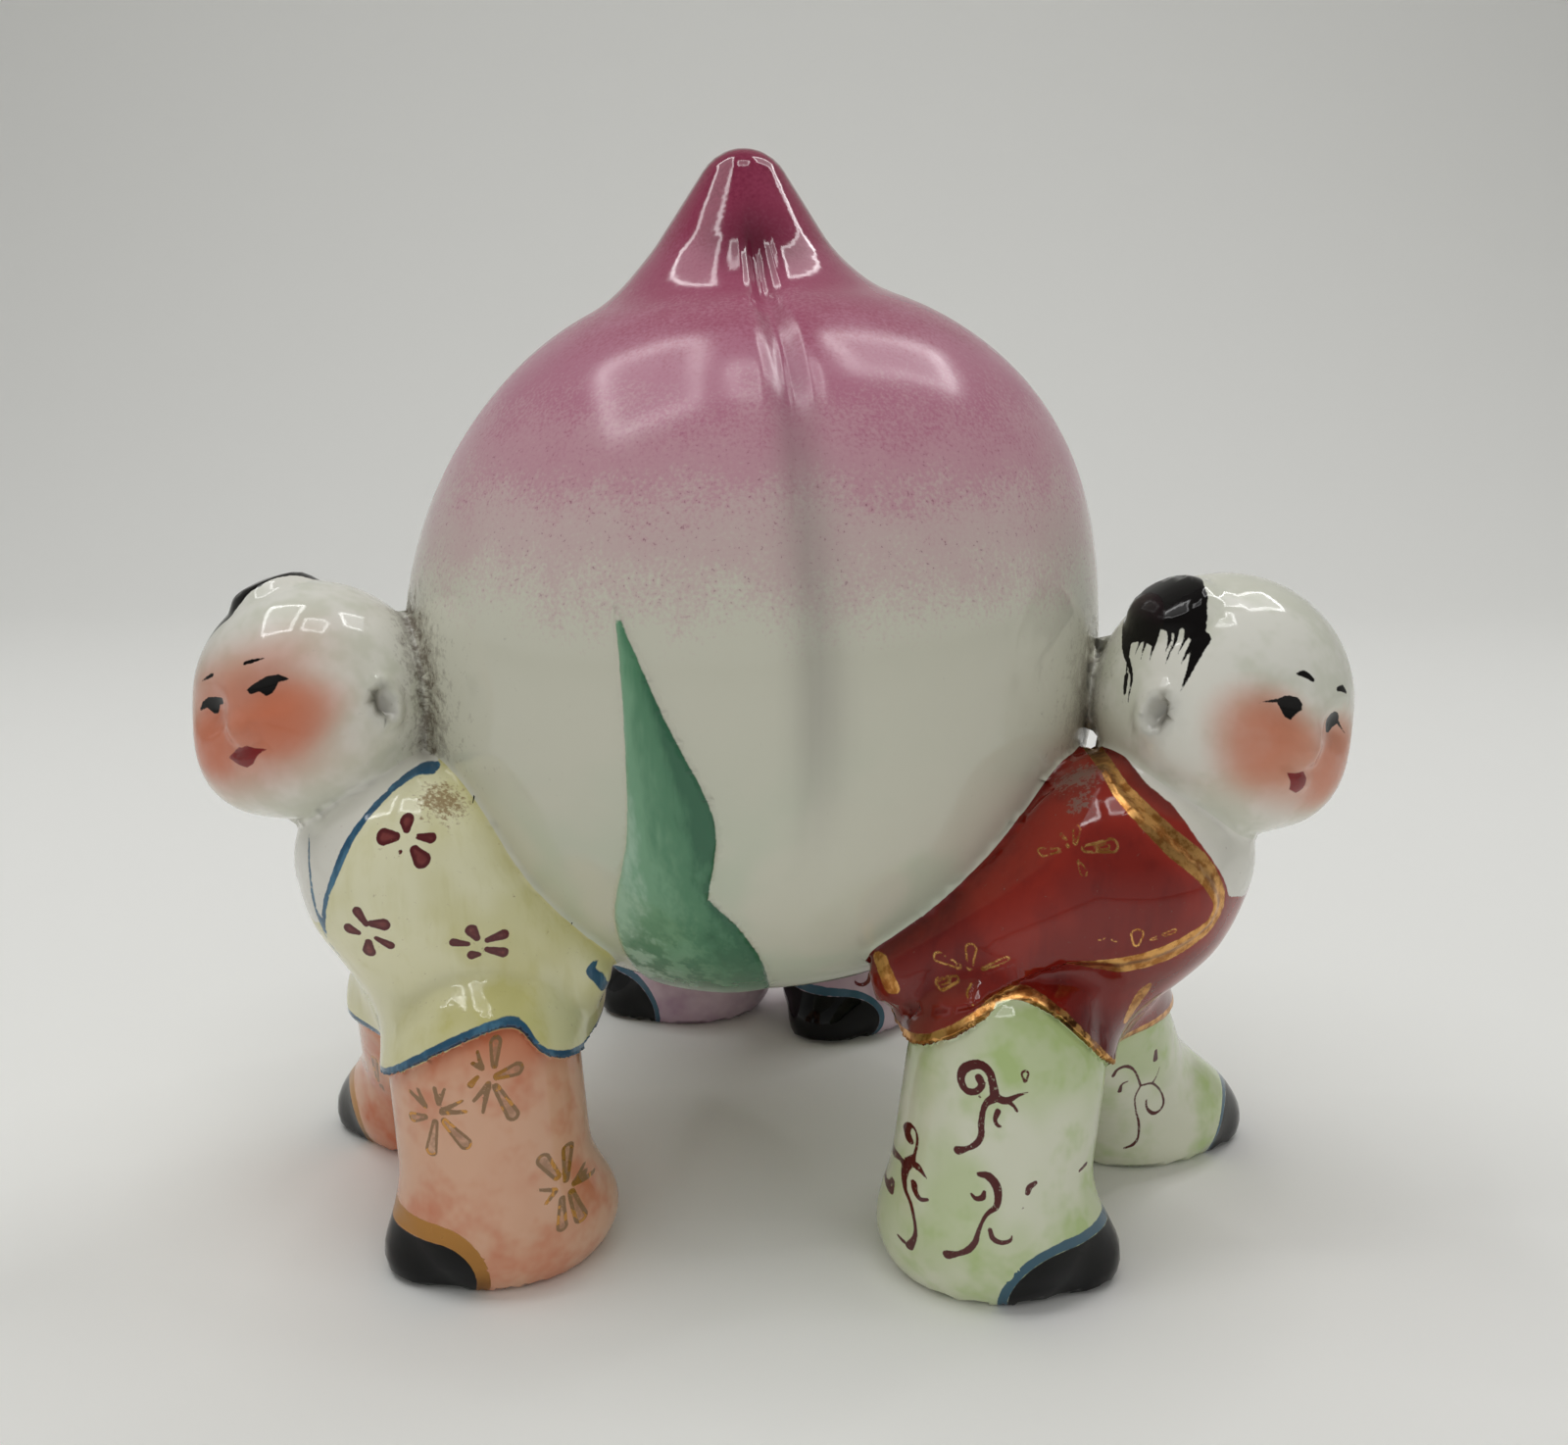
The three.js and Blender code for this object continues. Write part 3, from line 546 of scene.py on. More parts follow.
def leaf_shape(p):
    right = [LEAF["tip"], *LEAF["right_edge"]]
    lobe = [LEAF["right_edge"][-1], *LEAF["lower_lobe"]]
    back = [LEAF["lower_lobe"][-1], *LEAF["lower_edge"], *LEAF["left_edge"], LEAF["tip"]]
    outline = [point for edge in (right, lobe, back) for point in curve_through(edge)[:-1]]
    value = patch(p[:, [0, 2]], outline)
    return np.where(p[:, 1] < 0, value, REACH)


def off_seam_of(p):
    """How far each point is from the peach's seam, and the seam's half width there."""
    girth = np.hypot(p[:, 0], p[:, 1])
    off = np.arctan2(p[:, 1], p[:, 0]) - math.radians(SEAM["heading"])
    drift = SEAM["drift"] * smooth_step(*SEAM["drifting"], p[:, 2])
    off_seam = girth * np.arctan2(np.sin(off), np.cos(off)) + drift
    return np.where(np.cos(off) > 0, off_seam, NOWHERE), SEAM["width"] + SEAM["widening"] * girth


def peach_form(p):
    off_seam, width = off_seam_of(p)
    fading = smooth_step(*SEAM["lower"], p[:, 2]) * (1 - smooth_step(*SEAM["upper"], p[:, 2]))
    seam = SEAM["depth"] * fading * np.exp(-((off_seam / width) ** 2))
    above = p[:, 2] > PEACH["waist"]
    height = np.abs(p[:, 2] - PEACH["waist"]) / np.where(above, PEACH["above"], PEACH["below"])
    power = PEACH["squareness"]
    girth = np.hypot(p[:, 0] - PEACH["lean"] * smooth_step(*PEACH["leaning"], p[:, 2]), p[:, 1])
    fullness = ((girth / PEACH["radius"]) ** power + height**power) ** (1 / power)
    fruit = pair_blend((fullness - 1) * PEACH["radius"], limb(TIP["foot"], TIP["top"])(p), TIP["blend"])
    return fruit + seam - LEAF["relief"] * smooth_step(LEAF["slope"], -LEAF["slope"], leaf_shape(p))


def above_hem(hem, p):
    line = curve_through(hem["line"])
    ahead = (p @ turned(hem["along"]).T)[:, 0]
    return p[:, 2] - np.interp(ahead, line[:, 0], line[:, 1])


def trousers_form(boy):
    def leg(parts):
        hem = egg((*parts["foot"], FOOT["hem_height"]), FOOT["hem_size"], turned(parts["heading"]))
        return blend(FILLETS["leg"], limb(parts["thigh"], parts["ankle"]), hem)

    return blend(FILLETS["legs"], *map(leg, boy["legs"]), ball(boy["hips"]))


def side_view(which, p):
    """Ahead, height and outwards from the boy's middle, positive on the side he shows to the front."""
    style = DECORATION[which]
    axes = turned(BOYS[which]["hem"]["along"])
    middle = np.array([*style["middle"], 0], float)
    ahead = p @ axes[0] + style["shift"]
    return np.stack([ahead, p[:, 2], style["near_side"] * ((p - middle) @ axes[1])], 1)


def sleeve_edge(which):
    """The lower and front edge of a sleeve that stands a little proud of the body."""
    return [(a, h) for a, h, _ in DECORATION[which]["lapel"][0]]


def folds(which, p):
    """What the modelling adds to a jacket: below 0 where it stands proud."""
    view = side_view(which, p)
    outer = smooth_step(*CREASED_FROM, np.abs(view[:, 2]))
    style = DECORATION[which]
    added = np.zeros(len(p))
    for line, width, depth in style["creases"]:
        near = stroke(view[:, :2], line, 0)
        added += depth * np.exp(-((near / width) ** 2)) * (near < REACH)
    if style["sleeve"]:
        inside = patch(view[:, :2], [*sleeve_edge(which), *style["sleeve"]])
        added -= SLEEVE_RELIEF * smooth_step(SLEEVE_SLOPE, -SLEEVE_SLOPE, inside)
    return added * outer


def jacket_form(which, boy):
    thighs = [limb(parts["thigh"], parts["ankle"]) for parts in boy["legs"]]
    skirt = blend(FILLETS["skirt"], limb(boy["hips"], boy["chest"]), *thighs)
    chest = limb(boy["chest"], boy["collar"])
    trunk = blend(FILLETS["trunk"], lambda p: skirt(p) - JACKET_STANDS_PROUD, chest)
    cloth = blend(FILLETS["sleeves"], trunk, *(limb(*sleeve) for sleeve in boy["sleeves"]))
    return carve(FILLETS["hem"], lambda p: cloth(p) + folds(which, p), lambda p: above_hem(boy["hem"], p))


def shoe_form(parts):
    angle = math.radians(parts["heading"])
    x, y = parts["foot"]
    ahead = FOOT["shoe_ahead"]
    centre = (x + ahead * math.cos(angle), y + ahead * math.sin(angle), FOOT["shoe_height"])
    return egg(centre, FOOT["shoe_size"], turned(parts["heading"]))


def head_frame(head):
    """Rows are a head's own axes: out of the face, to the boy's left, up."""
    c, s = math.cos(math.radians(head["lean"])), math.sin(math.radians(head["lean"]))
    tilt = np.array([[c, 0, -s], [0, 1, 0], [s, 0, c]])
    return turned(head["heading"] - head["leans_to"]) @ tilt @ turned(head["leans_to"])


def in_head(head, p):
    return (p - np.array(head["at"])) @ head_frame(head).T / head["radius"]


def hair_view(hair, q):
    """Where points lie on a hair tuft: ahead, up and outwards from the head's middle."""
    out = np.array(hair["middle"], float)
    out /= np.linalg.norm(out)
    ahead = np.array([1, 0, 0]) - out[0] * out
    ahead /= np.linalg.norm(ahead)
    return q @ np.array([ahead, np.cross(out, ahead), out]).T / hair["size"]


def hair_shape(hair, q):
    """The painted hair tuft, in mm of a head of unit size."""
    view = hair_view(hair, q)
    value = np.minimum(patch(view[:, :2], HAIR), REACH)
    for line, widths in STRANDS:
        value = np.minimum(value, stroke(view[:, :2], line, widths))
    return np.where(view[:, 2] > TUFT_FROM, value * hair["size"], REACH)


def hair_relief(hair, q):
    """How far the tuft stands off the head: a smooth swelling under the paint."""
    view = hair_view(hair, q)
    off = (((view[:, :2] - HAIR_SWELLING["middle"]) / HAIR_SWELLING["size"]) ** 2).sum(1)
    height = HAIR_SWELLING["height"] * hair["size"] * smooth_step(*HAIR_SWELLING["fades"], off)
    return np.where(view[:, 2] > TUFT_FROM, height, 0)


def head_form(boy):
    head = boy["head"]

    def pair(at, radii):
        return [egg((at[0], side * at[1], at[2]), radii) for side in (-1, 1)]

    ahead, aside, up, radius = HEAD["cheek"]
    cheeks = [ball((ahead, side * aside, up, radius)) for side in (-1, 1)]
    features = blend(FILLETS["cheeks"], egg((0, 0, 0), HEAD["size"]), *cheeks, ball(HEAD["chin"]))
    for socket in pair(*HEAD["eye_socket"]):
        features = carve(FILLETS["sockets"], features, socket)
    middle = (egg(*HEAD["nose"]), egg(*HEAD["lips"]))
    features = blend(FILLETS["features"], features, *middle, *pair(*HEAD["ear"]))
    for hollow in pair(*HEAD["ear_hollow"]):
        features = carve(FILLETS["ear_hollows"], features, hollow)

    def form(p):
        q = in_head(head, p)
        return (features(q) - hair_relief(boy["hair"], q)) * head["radius"]

    return form


def body_parts(which, boy):
    return dict(
        jacket=jacket_form(which, boy),
        trousers=trousers_form(boy),
        shoes=blend(FILLETS["shoes"], *map(shoe_form, boy["legs"])),
        head=head_form(boy),
    )


PARTS = [body_parts(which, boy) for which, boy in enumerate(BOYS)]


def room_of(boy):
    """The box round all of a boy's masses."""
    masses = [boy["hips"], boy["chest"], boy["collar"], (*boy["head"]["at"], HEAD["size"][0] + HEAD_ROOM)]
    masses += [mass for sleeve in boy["sleeves"] for mass in sleeve]
    for parts in boy["legs"]:
        masses += [parts["thigh"], parts["ankle"], (*parts["foot"], 0, FOOT["hem_size"][0] + FOOT_ROOM)]
    masses = np.array(masses, float)
    return (masses[:, :3] - masses[:, 3:]).min(0), (masses[:, :3] + masses[:, 3:]).max(0)


ROOMS = [room_of(boy) for boy in BOYS]
ROOM_MARGIN = 4.0


def near_boy(which, p):
    low, high = ROOMS[which]
    return np.all((p > low - ROOM_MARGIN) & (p < high + ROOM_MARGIN), axis=1)


def part_values(p):
    """Each part's own form at each point: the peach, then the four parts of each boy."""
    values = dict(peach=peach_form(p))
    for which, parts in enumerate(PARTS):
        near = near_boy(which, p)
        for name, form in parts.items():
            value = np.full(len(p), NOWHERE)
            value[near] = form(p[near])
            values[name, which] = value
    return values


def figure_form(p):
    values = part_values(p)
    whole = values["peach"]
    for which in range(len(BOYS)):
        clothes = pair_blend(values["jacket", which], values["trousers", which], FILLETS["waist"])
        dressed = pair_blend(clothes, values["shoes", which], FILLETS["ankles"])
        boy = pair_blend(dressed, values["head", which], FILLETS["neck"])
        whole = pair_blend(whole, boy, FILLETS["peach"])
    return np.maximum(whole, -p[:, 2])


# Paint: for each point of the surface, signed distances to the edges of what is painted there
def drawn(q, petals, lines):
    """The strokes of petals and lines, and the washes within the petals that are outlined."""
    value = np.full(len(q), REACH)
    wash = np.full(len(q), REACH)
    for root, end, width, line_width in petals:
        shape = petal(q, root, end, width)
        if line_width:
            wash = np.minimum(wash, shape)
            shape = outlined(shape, line_width)
        value = np.minimum(value, shape)
    for line, widths in lines:
        value = np.minimum(value, stroke(q, line, widths))
    return np.stack([value, wash])


def on_side(which, p, line_with_widths):
    """A stroke on a jacket, where what lies outwards counts for a part of its distance only."""
    line, widths = line_with_widths
    view = side_view(which, p)
    view[:, 2] = np.abs(view[:, 2]) * OUTWARDS_SHARE
    return stroke(view, np.array(line) * (1, 1, OUTWARDS_SHARE), widths)


def edging_of(which, p):
    """The painted edges of a jacket: lapel, cuffs and hem."""
    style = DECORATION[which]
    value = on_side(which, p, style["lapel"])
    view = side_view(which, p)
    if style["far_edge"]:
        value = np.minimum(value, on_side(which, p, style["far_edge"]))
    value = np.minimum(value, stroke(view[:, :2], *style["cuff"]))
    up = above_hem(BOYS[which]["hem"], p)
    half = style["hem_width"] / 2
    return np.minimum(value, np.abs(up - half * HEM_SHIFT) - half)


def motifs_of(which, p, values):
    """Flowers and scrolls on the jacket's and the trousers' outer sides, and on the far leg's front."""
    style = DECORATION[which]
    view = side_view(which, p)
    flat = view[:, :2]
    outer = (view[:, 2] > OUTER_FROM) | (view[:, 2] < FAR_SIDE_FROM)
    inner = (view[:, 2] > FAR_SIDE_FROM) & (view[:, 2] < INNER_TO)
    jacket = values["jacket", which] < values["trousers", which]
    value = np.full((2, len(p)), REACH)
    for where, petals, lines in (
        (outer & jacket, style["jacket_petals"], style["jacket_lines"]),
        (outer & ~jacket, style["trouser_petals"], style["trouser_lines"]),
        (inner & ~jacket, style["inner_petals"], style["inner_lines"]),
    ):
        value[:, where] = drawn(flat[where], petals, lines)
    return value


def shoes_of(which, p):
    """The black toes, and the band painted round each."""
    band = DECORATION[which]["toe_band"]
    toes = np.full(len(p), REACH)
    for parts, (middle, half, high) in zip(BOYS[which]["legs"], DECORATION[which]["toes"]):
        local = (p - np.array([*parts["foot"], 0])) @ turned(parts["heading"]).T
        behind = np.minimum(local[:, 0] - middle, 0)
        toe = (np.hypot(behind / half, local[:, 2] / high) - 1) * high
        toes = np.minimum(toes, np.where(np.abs(local[:, 1]) < FOOT["hem_size"][1] + TOE_ROOM, toe, REACH))
    return toes, np.abs(toes - band / 2) - band / 2


def face_of(which, p):
    """Ink of eyes, brows and hair, the lips, how strong the blush is, and the painted shade in the ear
    hollows.
    """
    face = FACES[DECORATION[which]["face"]]
    q = in_head(BOYS[which]["head"], p)
    front = q[:, 0] > FACE_FROM
    mirrored = np.stack([np.abs(q[:, 1]), q[:, 2]], 1)
    eyes = np.minimum(patch(mirrored, face["eye"]), stroke(mirrored, *face["brow"]))
    ink = np.minimum(np.where(front, eyes, REACH), hair_shape(BOYS[which]["hair"], q))
    lips = np.where(front, patch(q[:, 1:], face["lips"]), REACH)
    left, up, wide, tall = face["cheek"]
    off = ((mirrored[:, 0] - left) / wide) ** 2 + ((q[:, 2] - up) / tall) ** 2
    blush = BLUSH["cheek"] * smooth_step(BLUSH["cheek_ends"], 0, off)
    aside, middle, tall, strength = face["broad"]
    glow = strength * np.exp(-((q[:, 1] / aside) ** 4) - ((q[:, 2] - middle) / tall) ** 4)
    blush = blush + glow - blush * glow
    blush *= smooth_step(*BLUSH["fades_behind"], q[:, 0])
    # Painted shade in each ear hollow
    ear_x, _, ear_z = HEAD["ear_hollow"][0]
    behind = (q[:, 0] - ear_x - EAR_HOLLOW_SHADE["behind"]) / EAR_HOLLOW_SHADE["wide"]
    above = (q[:, 2] - ear_z) / EAR_HOLLOW_SHADE["tall"]
    hollow = np.exp(-(behind**2) - above**2) * (np.abs(q[:, 1]) > EAR_HOLLOW_SHADE["outwards"])
    return dict(ink=ink, lips=lips, blush=blush, hollow=hollow)


def paint_of(p):
    """Every painted thing at each point: signed distances for what has an edge, and shares up to 1."""
    values = part_values(p)
    names = ("jacket", "trousers", "shoes", "head")
    each = {name: np.stack([values[name, which] for which in range(len(BOYS))]) for name in names}
    nearest = {name: each[name].min(0) for name in names}
    nearest["peach"] = values["peach"]
    boy = np.stack([each[name] for name in names]).min(0).argmin(0)
    paint = {}
    nearest["trousers"] = np.minimum(nearest["trousers"], nearest.pop("shoes"))
    for name in ("jacket", "trousers", "head"):
        others = np.stack([nearest[other] for other in nearest if other != name]).min(0)
        paint[name] = nearest[name] - others
    paint["boy"] = boy.astype(float)
    paint["leaf"] = leaf_shape(p)
    for name in ("shoes", "shoe_edging", "edging", "shirt", "motif", "wash", "ink", "lips"):
        paint[name] = np.full(len(p), REACH)
    for name in ("blush", "hollow"):
        paint[name] = np.zeros(len(p))
    for which in range(len(BOYS)):
        mine = near_boy(which, p) & (boy == which)
        here = p[mine]
        own = {key: value[mine] for key, value in values.items()}
        paint["shoes"][mine], paint["shoe_edging"][mine] = shoes_of(which, here)
        paint["edging"][mine] = edging_of(which, here)
        view = side_view(which, here)
        within = view[:, 2] < DECORATION[which]["shirt_reach"]
        paint["shirt"][mine] = np.where(within, patch(view[:, :2], DECORATION[which]["shirt"]), REACH)
        paint["motif"][mine], paint["wash"][mine] = motifs_of(which, here, own)
        for name, value in face_of(which, here).items():
            paint[name][mine] = value
    # Painted shade: 1 in the creases where two parts meet, fading as the nearest two parts draw apart
    ordered = np.sort(np.stack([nearest[name] for name in nearest]), axis=0)
    paint["crease_shade"] = np.exp(-(ordered[1] - ordered[0]) / CREASE_SHADE_REACH)
    # Painted shade with soot where a head meets the peach: on the peach near the head, and on the head near
    # the peach
    on_peach = ordered[0] == nearest["peach"]
    from_peach = np.where(paint["head"] < 0, nearest["peach"], NOWHERE)
    shade_and_soot_within = np.where(on_peach, nearest["head"] * SOOT_AND_SHADE["on_peach"], from_peach)
    paint["soot_and_shade"] = np.exp(-np.maximum(shade_and_soot_within, 0) / SOOT_AND_SHADE["reach"])
    off_seam, width = off_seam_of(p)
    paint["groove"] = np.exp(-((off_seam / (GROOVE_SPREAD * width)) ** 2))
    return paint


# The mesh: one point in each small cell that the surface crosses, then finer where paint has edges
CELL = 1.6
FINEST = dict(jacket=0.6, trousers=0.8, shoes=0.7, head=0.8, leaf=0.7, edging=0.6, shirt=0.8, motif=0.28,
              shoe_edging=0.6, ink=0.25, lips=0.35)
COARSENING = 2.1  # how fast the mesh may get coarser away from an edge
TOO_LONG = 1.3  # how many times the wanted length an edge has before it's parted
SEAM_FINEST = 0.55
SEAM_FINE_ABOVE = 95.0
PASSES = 3
GRID_LOW, GRID_HIGH = np.array([-76.0, -56.0, -3.2]), np.array([80.0, 80.0, 134.0])
BLOCK = 4  # cells along a side of the blocks that are tried first
BLOCK_REACH = 2.2  # how near the surface a block's corner lies, in blocks, for its cells to be worked out
ROUNDS = 2  # steps that bring a point onto the surface
RELAXATION = 0.5
LEAST_STEEPNESS = 0.2


def sample_grid(form, low, high, cell):
    """The form's values on a grid: exact in the blocks near the surface, and those of a corner elsewhere."""
    block = cell * BLOCK
    count = np.ceil((high - low) / block).astype(int) + 1
    axes = [low[a] + np.arange(count[a]) * block for a in range(3)]
    points = np.stack(np.meshgrid(*axes, indexing="ij"), -1).reshape(-1, 3)
    values = form(points).reshape(count)
    near = np.abs(values) < block * BLOCK_REACH
    for axis in range(3):
        near |= np.roll(near, -1, axis)
    for axis in range(3):
        values = np.repeat(values, BLOCK, axis)
        near = np.repeat(near, BLOCK, axis)
    values[near] = form(low + np.argwhere(near) * cell)
    return values


def net_mesh(values, low, cell):
    """Points and quads of the surface through a grid's values, one point in each cell that it crosses."""
    inside = values < 0
    shape = np.array(values.shape)
    strides = np.array([shape[1] * shape[2], shape[2], 1])
    sums = np.zeros((values.size, 3))
    hits = np.zeros(values.size)
    quads = []
    for axis in range(3):
        step = np.eye(3, dtype=int)[axis]
        here = inside[1:-1, 1:-1, 1:-1]
        moved = tuple(slice(1 + step[a], shape[a] - 1 + step[a]) for a in range(3))
        crossing = np.argwhere(here != inside[moved]) + 1
        flat = crossing @ strides
        level = values.ravel()[flat]
        t = level / (level - values.ravel()[flat + strides[axis]])
        point = crossing + t[:, None] * step
        u, v = strides[(axis + 1) % 3], strides[(axis + 2) % 3]
        cells = np.stack([flat, flat - u, flat - u - v, flat - v], 1)
        for corner in range(4):
            hits += np.bincount(cells[:, corner], minlength=values.size)
            for a in range(3):
                sums[:, a] += np.bincount(cells[:, corner], point[:, a], minlength=values.size)
        outward = inside.ravel()[flat]
        quads.append(np.where(outward[:, None], cells, cells[:, ::-1]))
    used = np.flatnonzero(hits)
    number = np.full(values.size, -1)
    number[used] = np.arange(len(used))
    points = low + cell * sums[used] / hits[used, None]
    return points, number[np.concatenate(quads)]


def slope_of(form, p, step=0.05):
    corners = np.array([[1, -1, -1], [-1, -1, 1], [-1, 1, -1], [1, 1, 1]], float)
    return sum(corner * form(p + corner * step)[:, None] for corner in corners) / (4 * step)


def onto_surface(form, p, cell):
    for _ in range(ROUNDS):
        slope = slope_of(form, p)
        steep = np.maximum(np.einsum("ij,ij->i", slope, slope), LEAST_STEEPNESS)
        travel = np.clip(-form(p) / steep, -cell / 2, cell / 2)
        p = p + slope * travel[:, None]
    return p


def relaxed(p, quads, normals):
    """Points moved along the surface towards the middle of their neighbours."""
    total = np.zeros_like(p)
    count = np.zeros(len(p))
    for a in range(4):
        for b in ((a + 1) % 4, (a + 3) % 4):
            count += np.bincount(quads[:, a], minlength=len(p))
            for axis in range(3):
                total[:, axis] += np.bincount(quads[:, a], p[quads[:, b], axis], minlength=len(p))
    shift = total / count[:, None] - p
    shift -= normals * np.einsum("ij,ij->i", shift, normals)[:, None]
    return p + RELAXATION * shift


def unit(v):
    return v / np.maximum(length(v), TINY)[:, None]


def fineness(p, paint):
    """How long a mesh edge may be at each point."""
    wanted = np.full(len(p), CELL * 2)
    for name, finest in FINEST.items():
        wanted = np.minimum(wanted, np.maximum(finest, COARSENING * np.abs(paint[name])))
    off_seam, width = off_seam_of(p)
    near_tip = p[:, 2] > SEAM_FINE_ABOVE
    by_seam = np.maximum(SEAM_FINEST, COARSENING * (np.abs(off_seam) - 2 * width))
    return np.where(near_tip, np.minimum(wanted, by_seam), wanted)


def parted(points, tris, long_edge):
    """Parts each edge that is too long, and the faces beside it. Gives those edges' ends, and the faces."""
    ends = np.stack([tris, np.roll(tris, -1, 1)], 2).reshape(-1, 2)
    ends.sort(axis=1)
    keys, place = np.unique(ends[:, 0] * len(points) + ends[:, 1], return_inverse=True)
    pairs = np.stack([keys // len(points), keys % len(points)], 1)
    split = long_edge(pairs)
    number = np.full(len(keys), -1)
    number[split] = len(points) + np.arange(split.sum())
    middles = number[place].reshape(-1, 3)
    pieces = []
    count = (middles >= 0).sum(1)
    pieces.append(tris[count == 0])
    for turn in range(3):
        t, m = np.roll(tris, -turn, 1), np.roll(middles, -turn, 1)
        one = (count == 1) & (m[:, 0] >= 0)
        a, b, c, ab = *t[one].T, m[one, 0]
        pieces += [np.stack([a, ab, c], 1), np.stack([ab, b, c], 1)]
        two = (count == 2) & (m[:, 2] < 0)
        a, b, c, ab, bc = *t[two].T, m[two, 0], m[two, 1]
        pieces += [np.stack([ab, b, bc], 1), np.stack([a, ab, bc], 1), np.stack([a, bc, c], 1)]
    a, b, c, ab, bc, ca = *tris[count == 3].T, *middles[count == 3].T
    pieces += [np.stack(three, 1) for three in ((a, ab, ca), (ab, b, bc), (ca, bc, c), (ab, bc, ca))]
    return pairs[split], np.concatenate(pieces)


def figure_mesh():
    values = sample_grid(figure_form, GRID_LOW, GRID_HIGH, CELL)
    points, quads = net_mesh(values, GRID_LOW, CELL)
    points = onto_surface(figure_form, points, CELL)
    points = relaxed(points, quads, unit(slope_of(figure_form, points)))
    points = onto_surface(figure_form, points, CELL)
    points[:, 2] = np.maximum(points[:, 2], 0)
    tris = np.concatenate([quads[:, [0, 1, 2]], quads[:, [0, 2, 3]]])
    paint = paint_of(points)
    for _ in range(PASSES):
        wanted = fineness(points, paint)

        def too_long(pairs):
            a, b = pairs.T
            return length(points[a] - points[b]) > TOO_LONG * np.minimum(wanted[a], wanted[b])

        pairs, tris = parted(points, tris, too_long)
        new = onto_surface(figure_form, points[pairs].mean(1), CELL / 2)
        new[:, 2] = np.maximum(new[:, 2], 0)
        points = np.concatenate([points, new])
        more = paint_of(new)
        paint = {name: np.concatenate([paint[name], more[name]]) for name in paint}
    inner = [np.array(corner) / MM + FIGURE_TO_BOX for corner in cad_box]
    return np.clip(points, *inner), tris, paint


def mesh_object(name, points, tris, paint):
    mesh = bpy.data.meshes.new(name)
    mesh.vertices.add(len(points))
    mesh.vertices.foreach_set("co", ((points - FIGURE_TO_BOX) * MM).ravel())
    mesh.loops.add(tris.size)
    mesh.loops.foreach_set("vertex_index", tris.ravel())
    mesh.polygons.add(len(tris))
    mesh.polygons.foreach_set("loop_start", np.arange(len(tris)) * 3)
    mesh.polygons.foreach_set("loop_total", np.full(len(tris), 3))
    mesh.update(calc_edges=True)
    mesh.polygons.foreach_set("use_smooth", np.ones(len(tris), bool))
    for key, value in paint.items():
        mesh.attributes.new(key, "FLOAT", "POINT").data.foreach_set("value", value.astype(np.float32))
    normals = unit(slope_of(figure_form, points))
    normals[points[:, 2] < ON_GROUND] = (0, 0, -1)
    mesh.normals_split_custom_set_from_vertices(normals)
    thing = bpy.data.objects.new(name, mesh)
    bpy.context.scene.collection.objects.link(thing)
    return thing


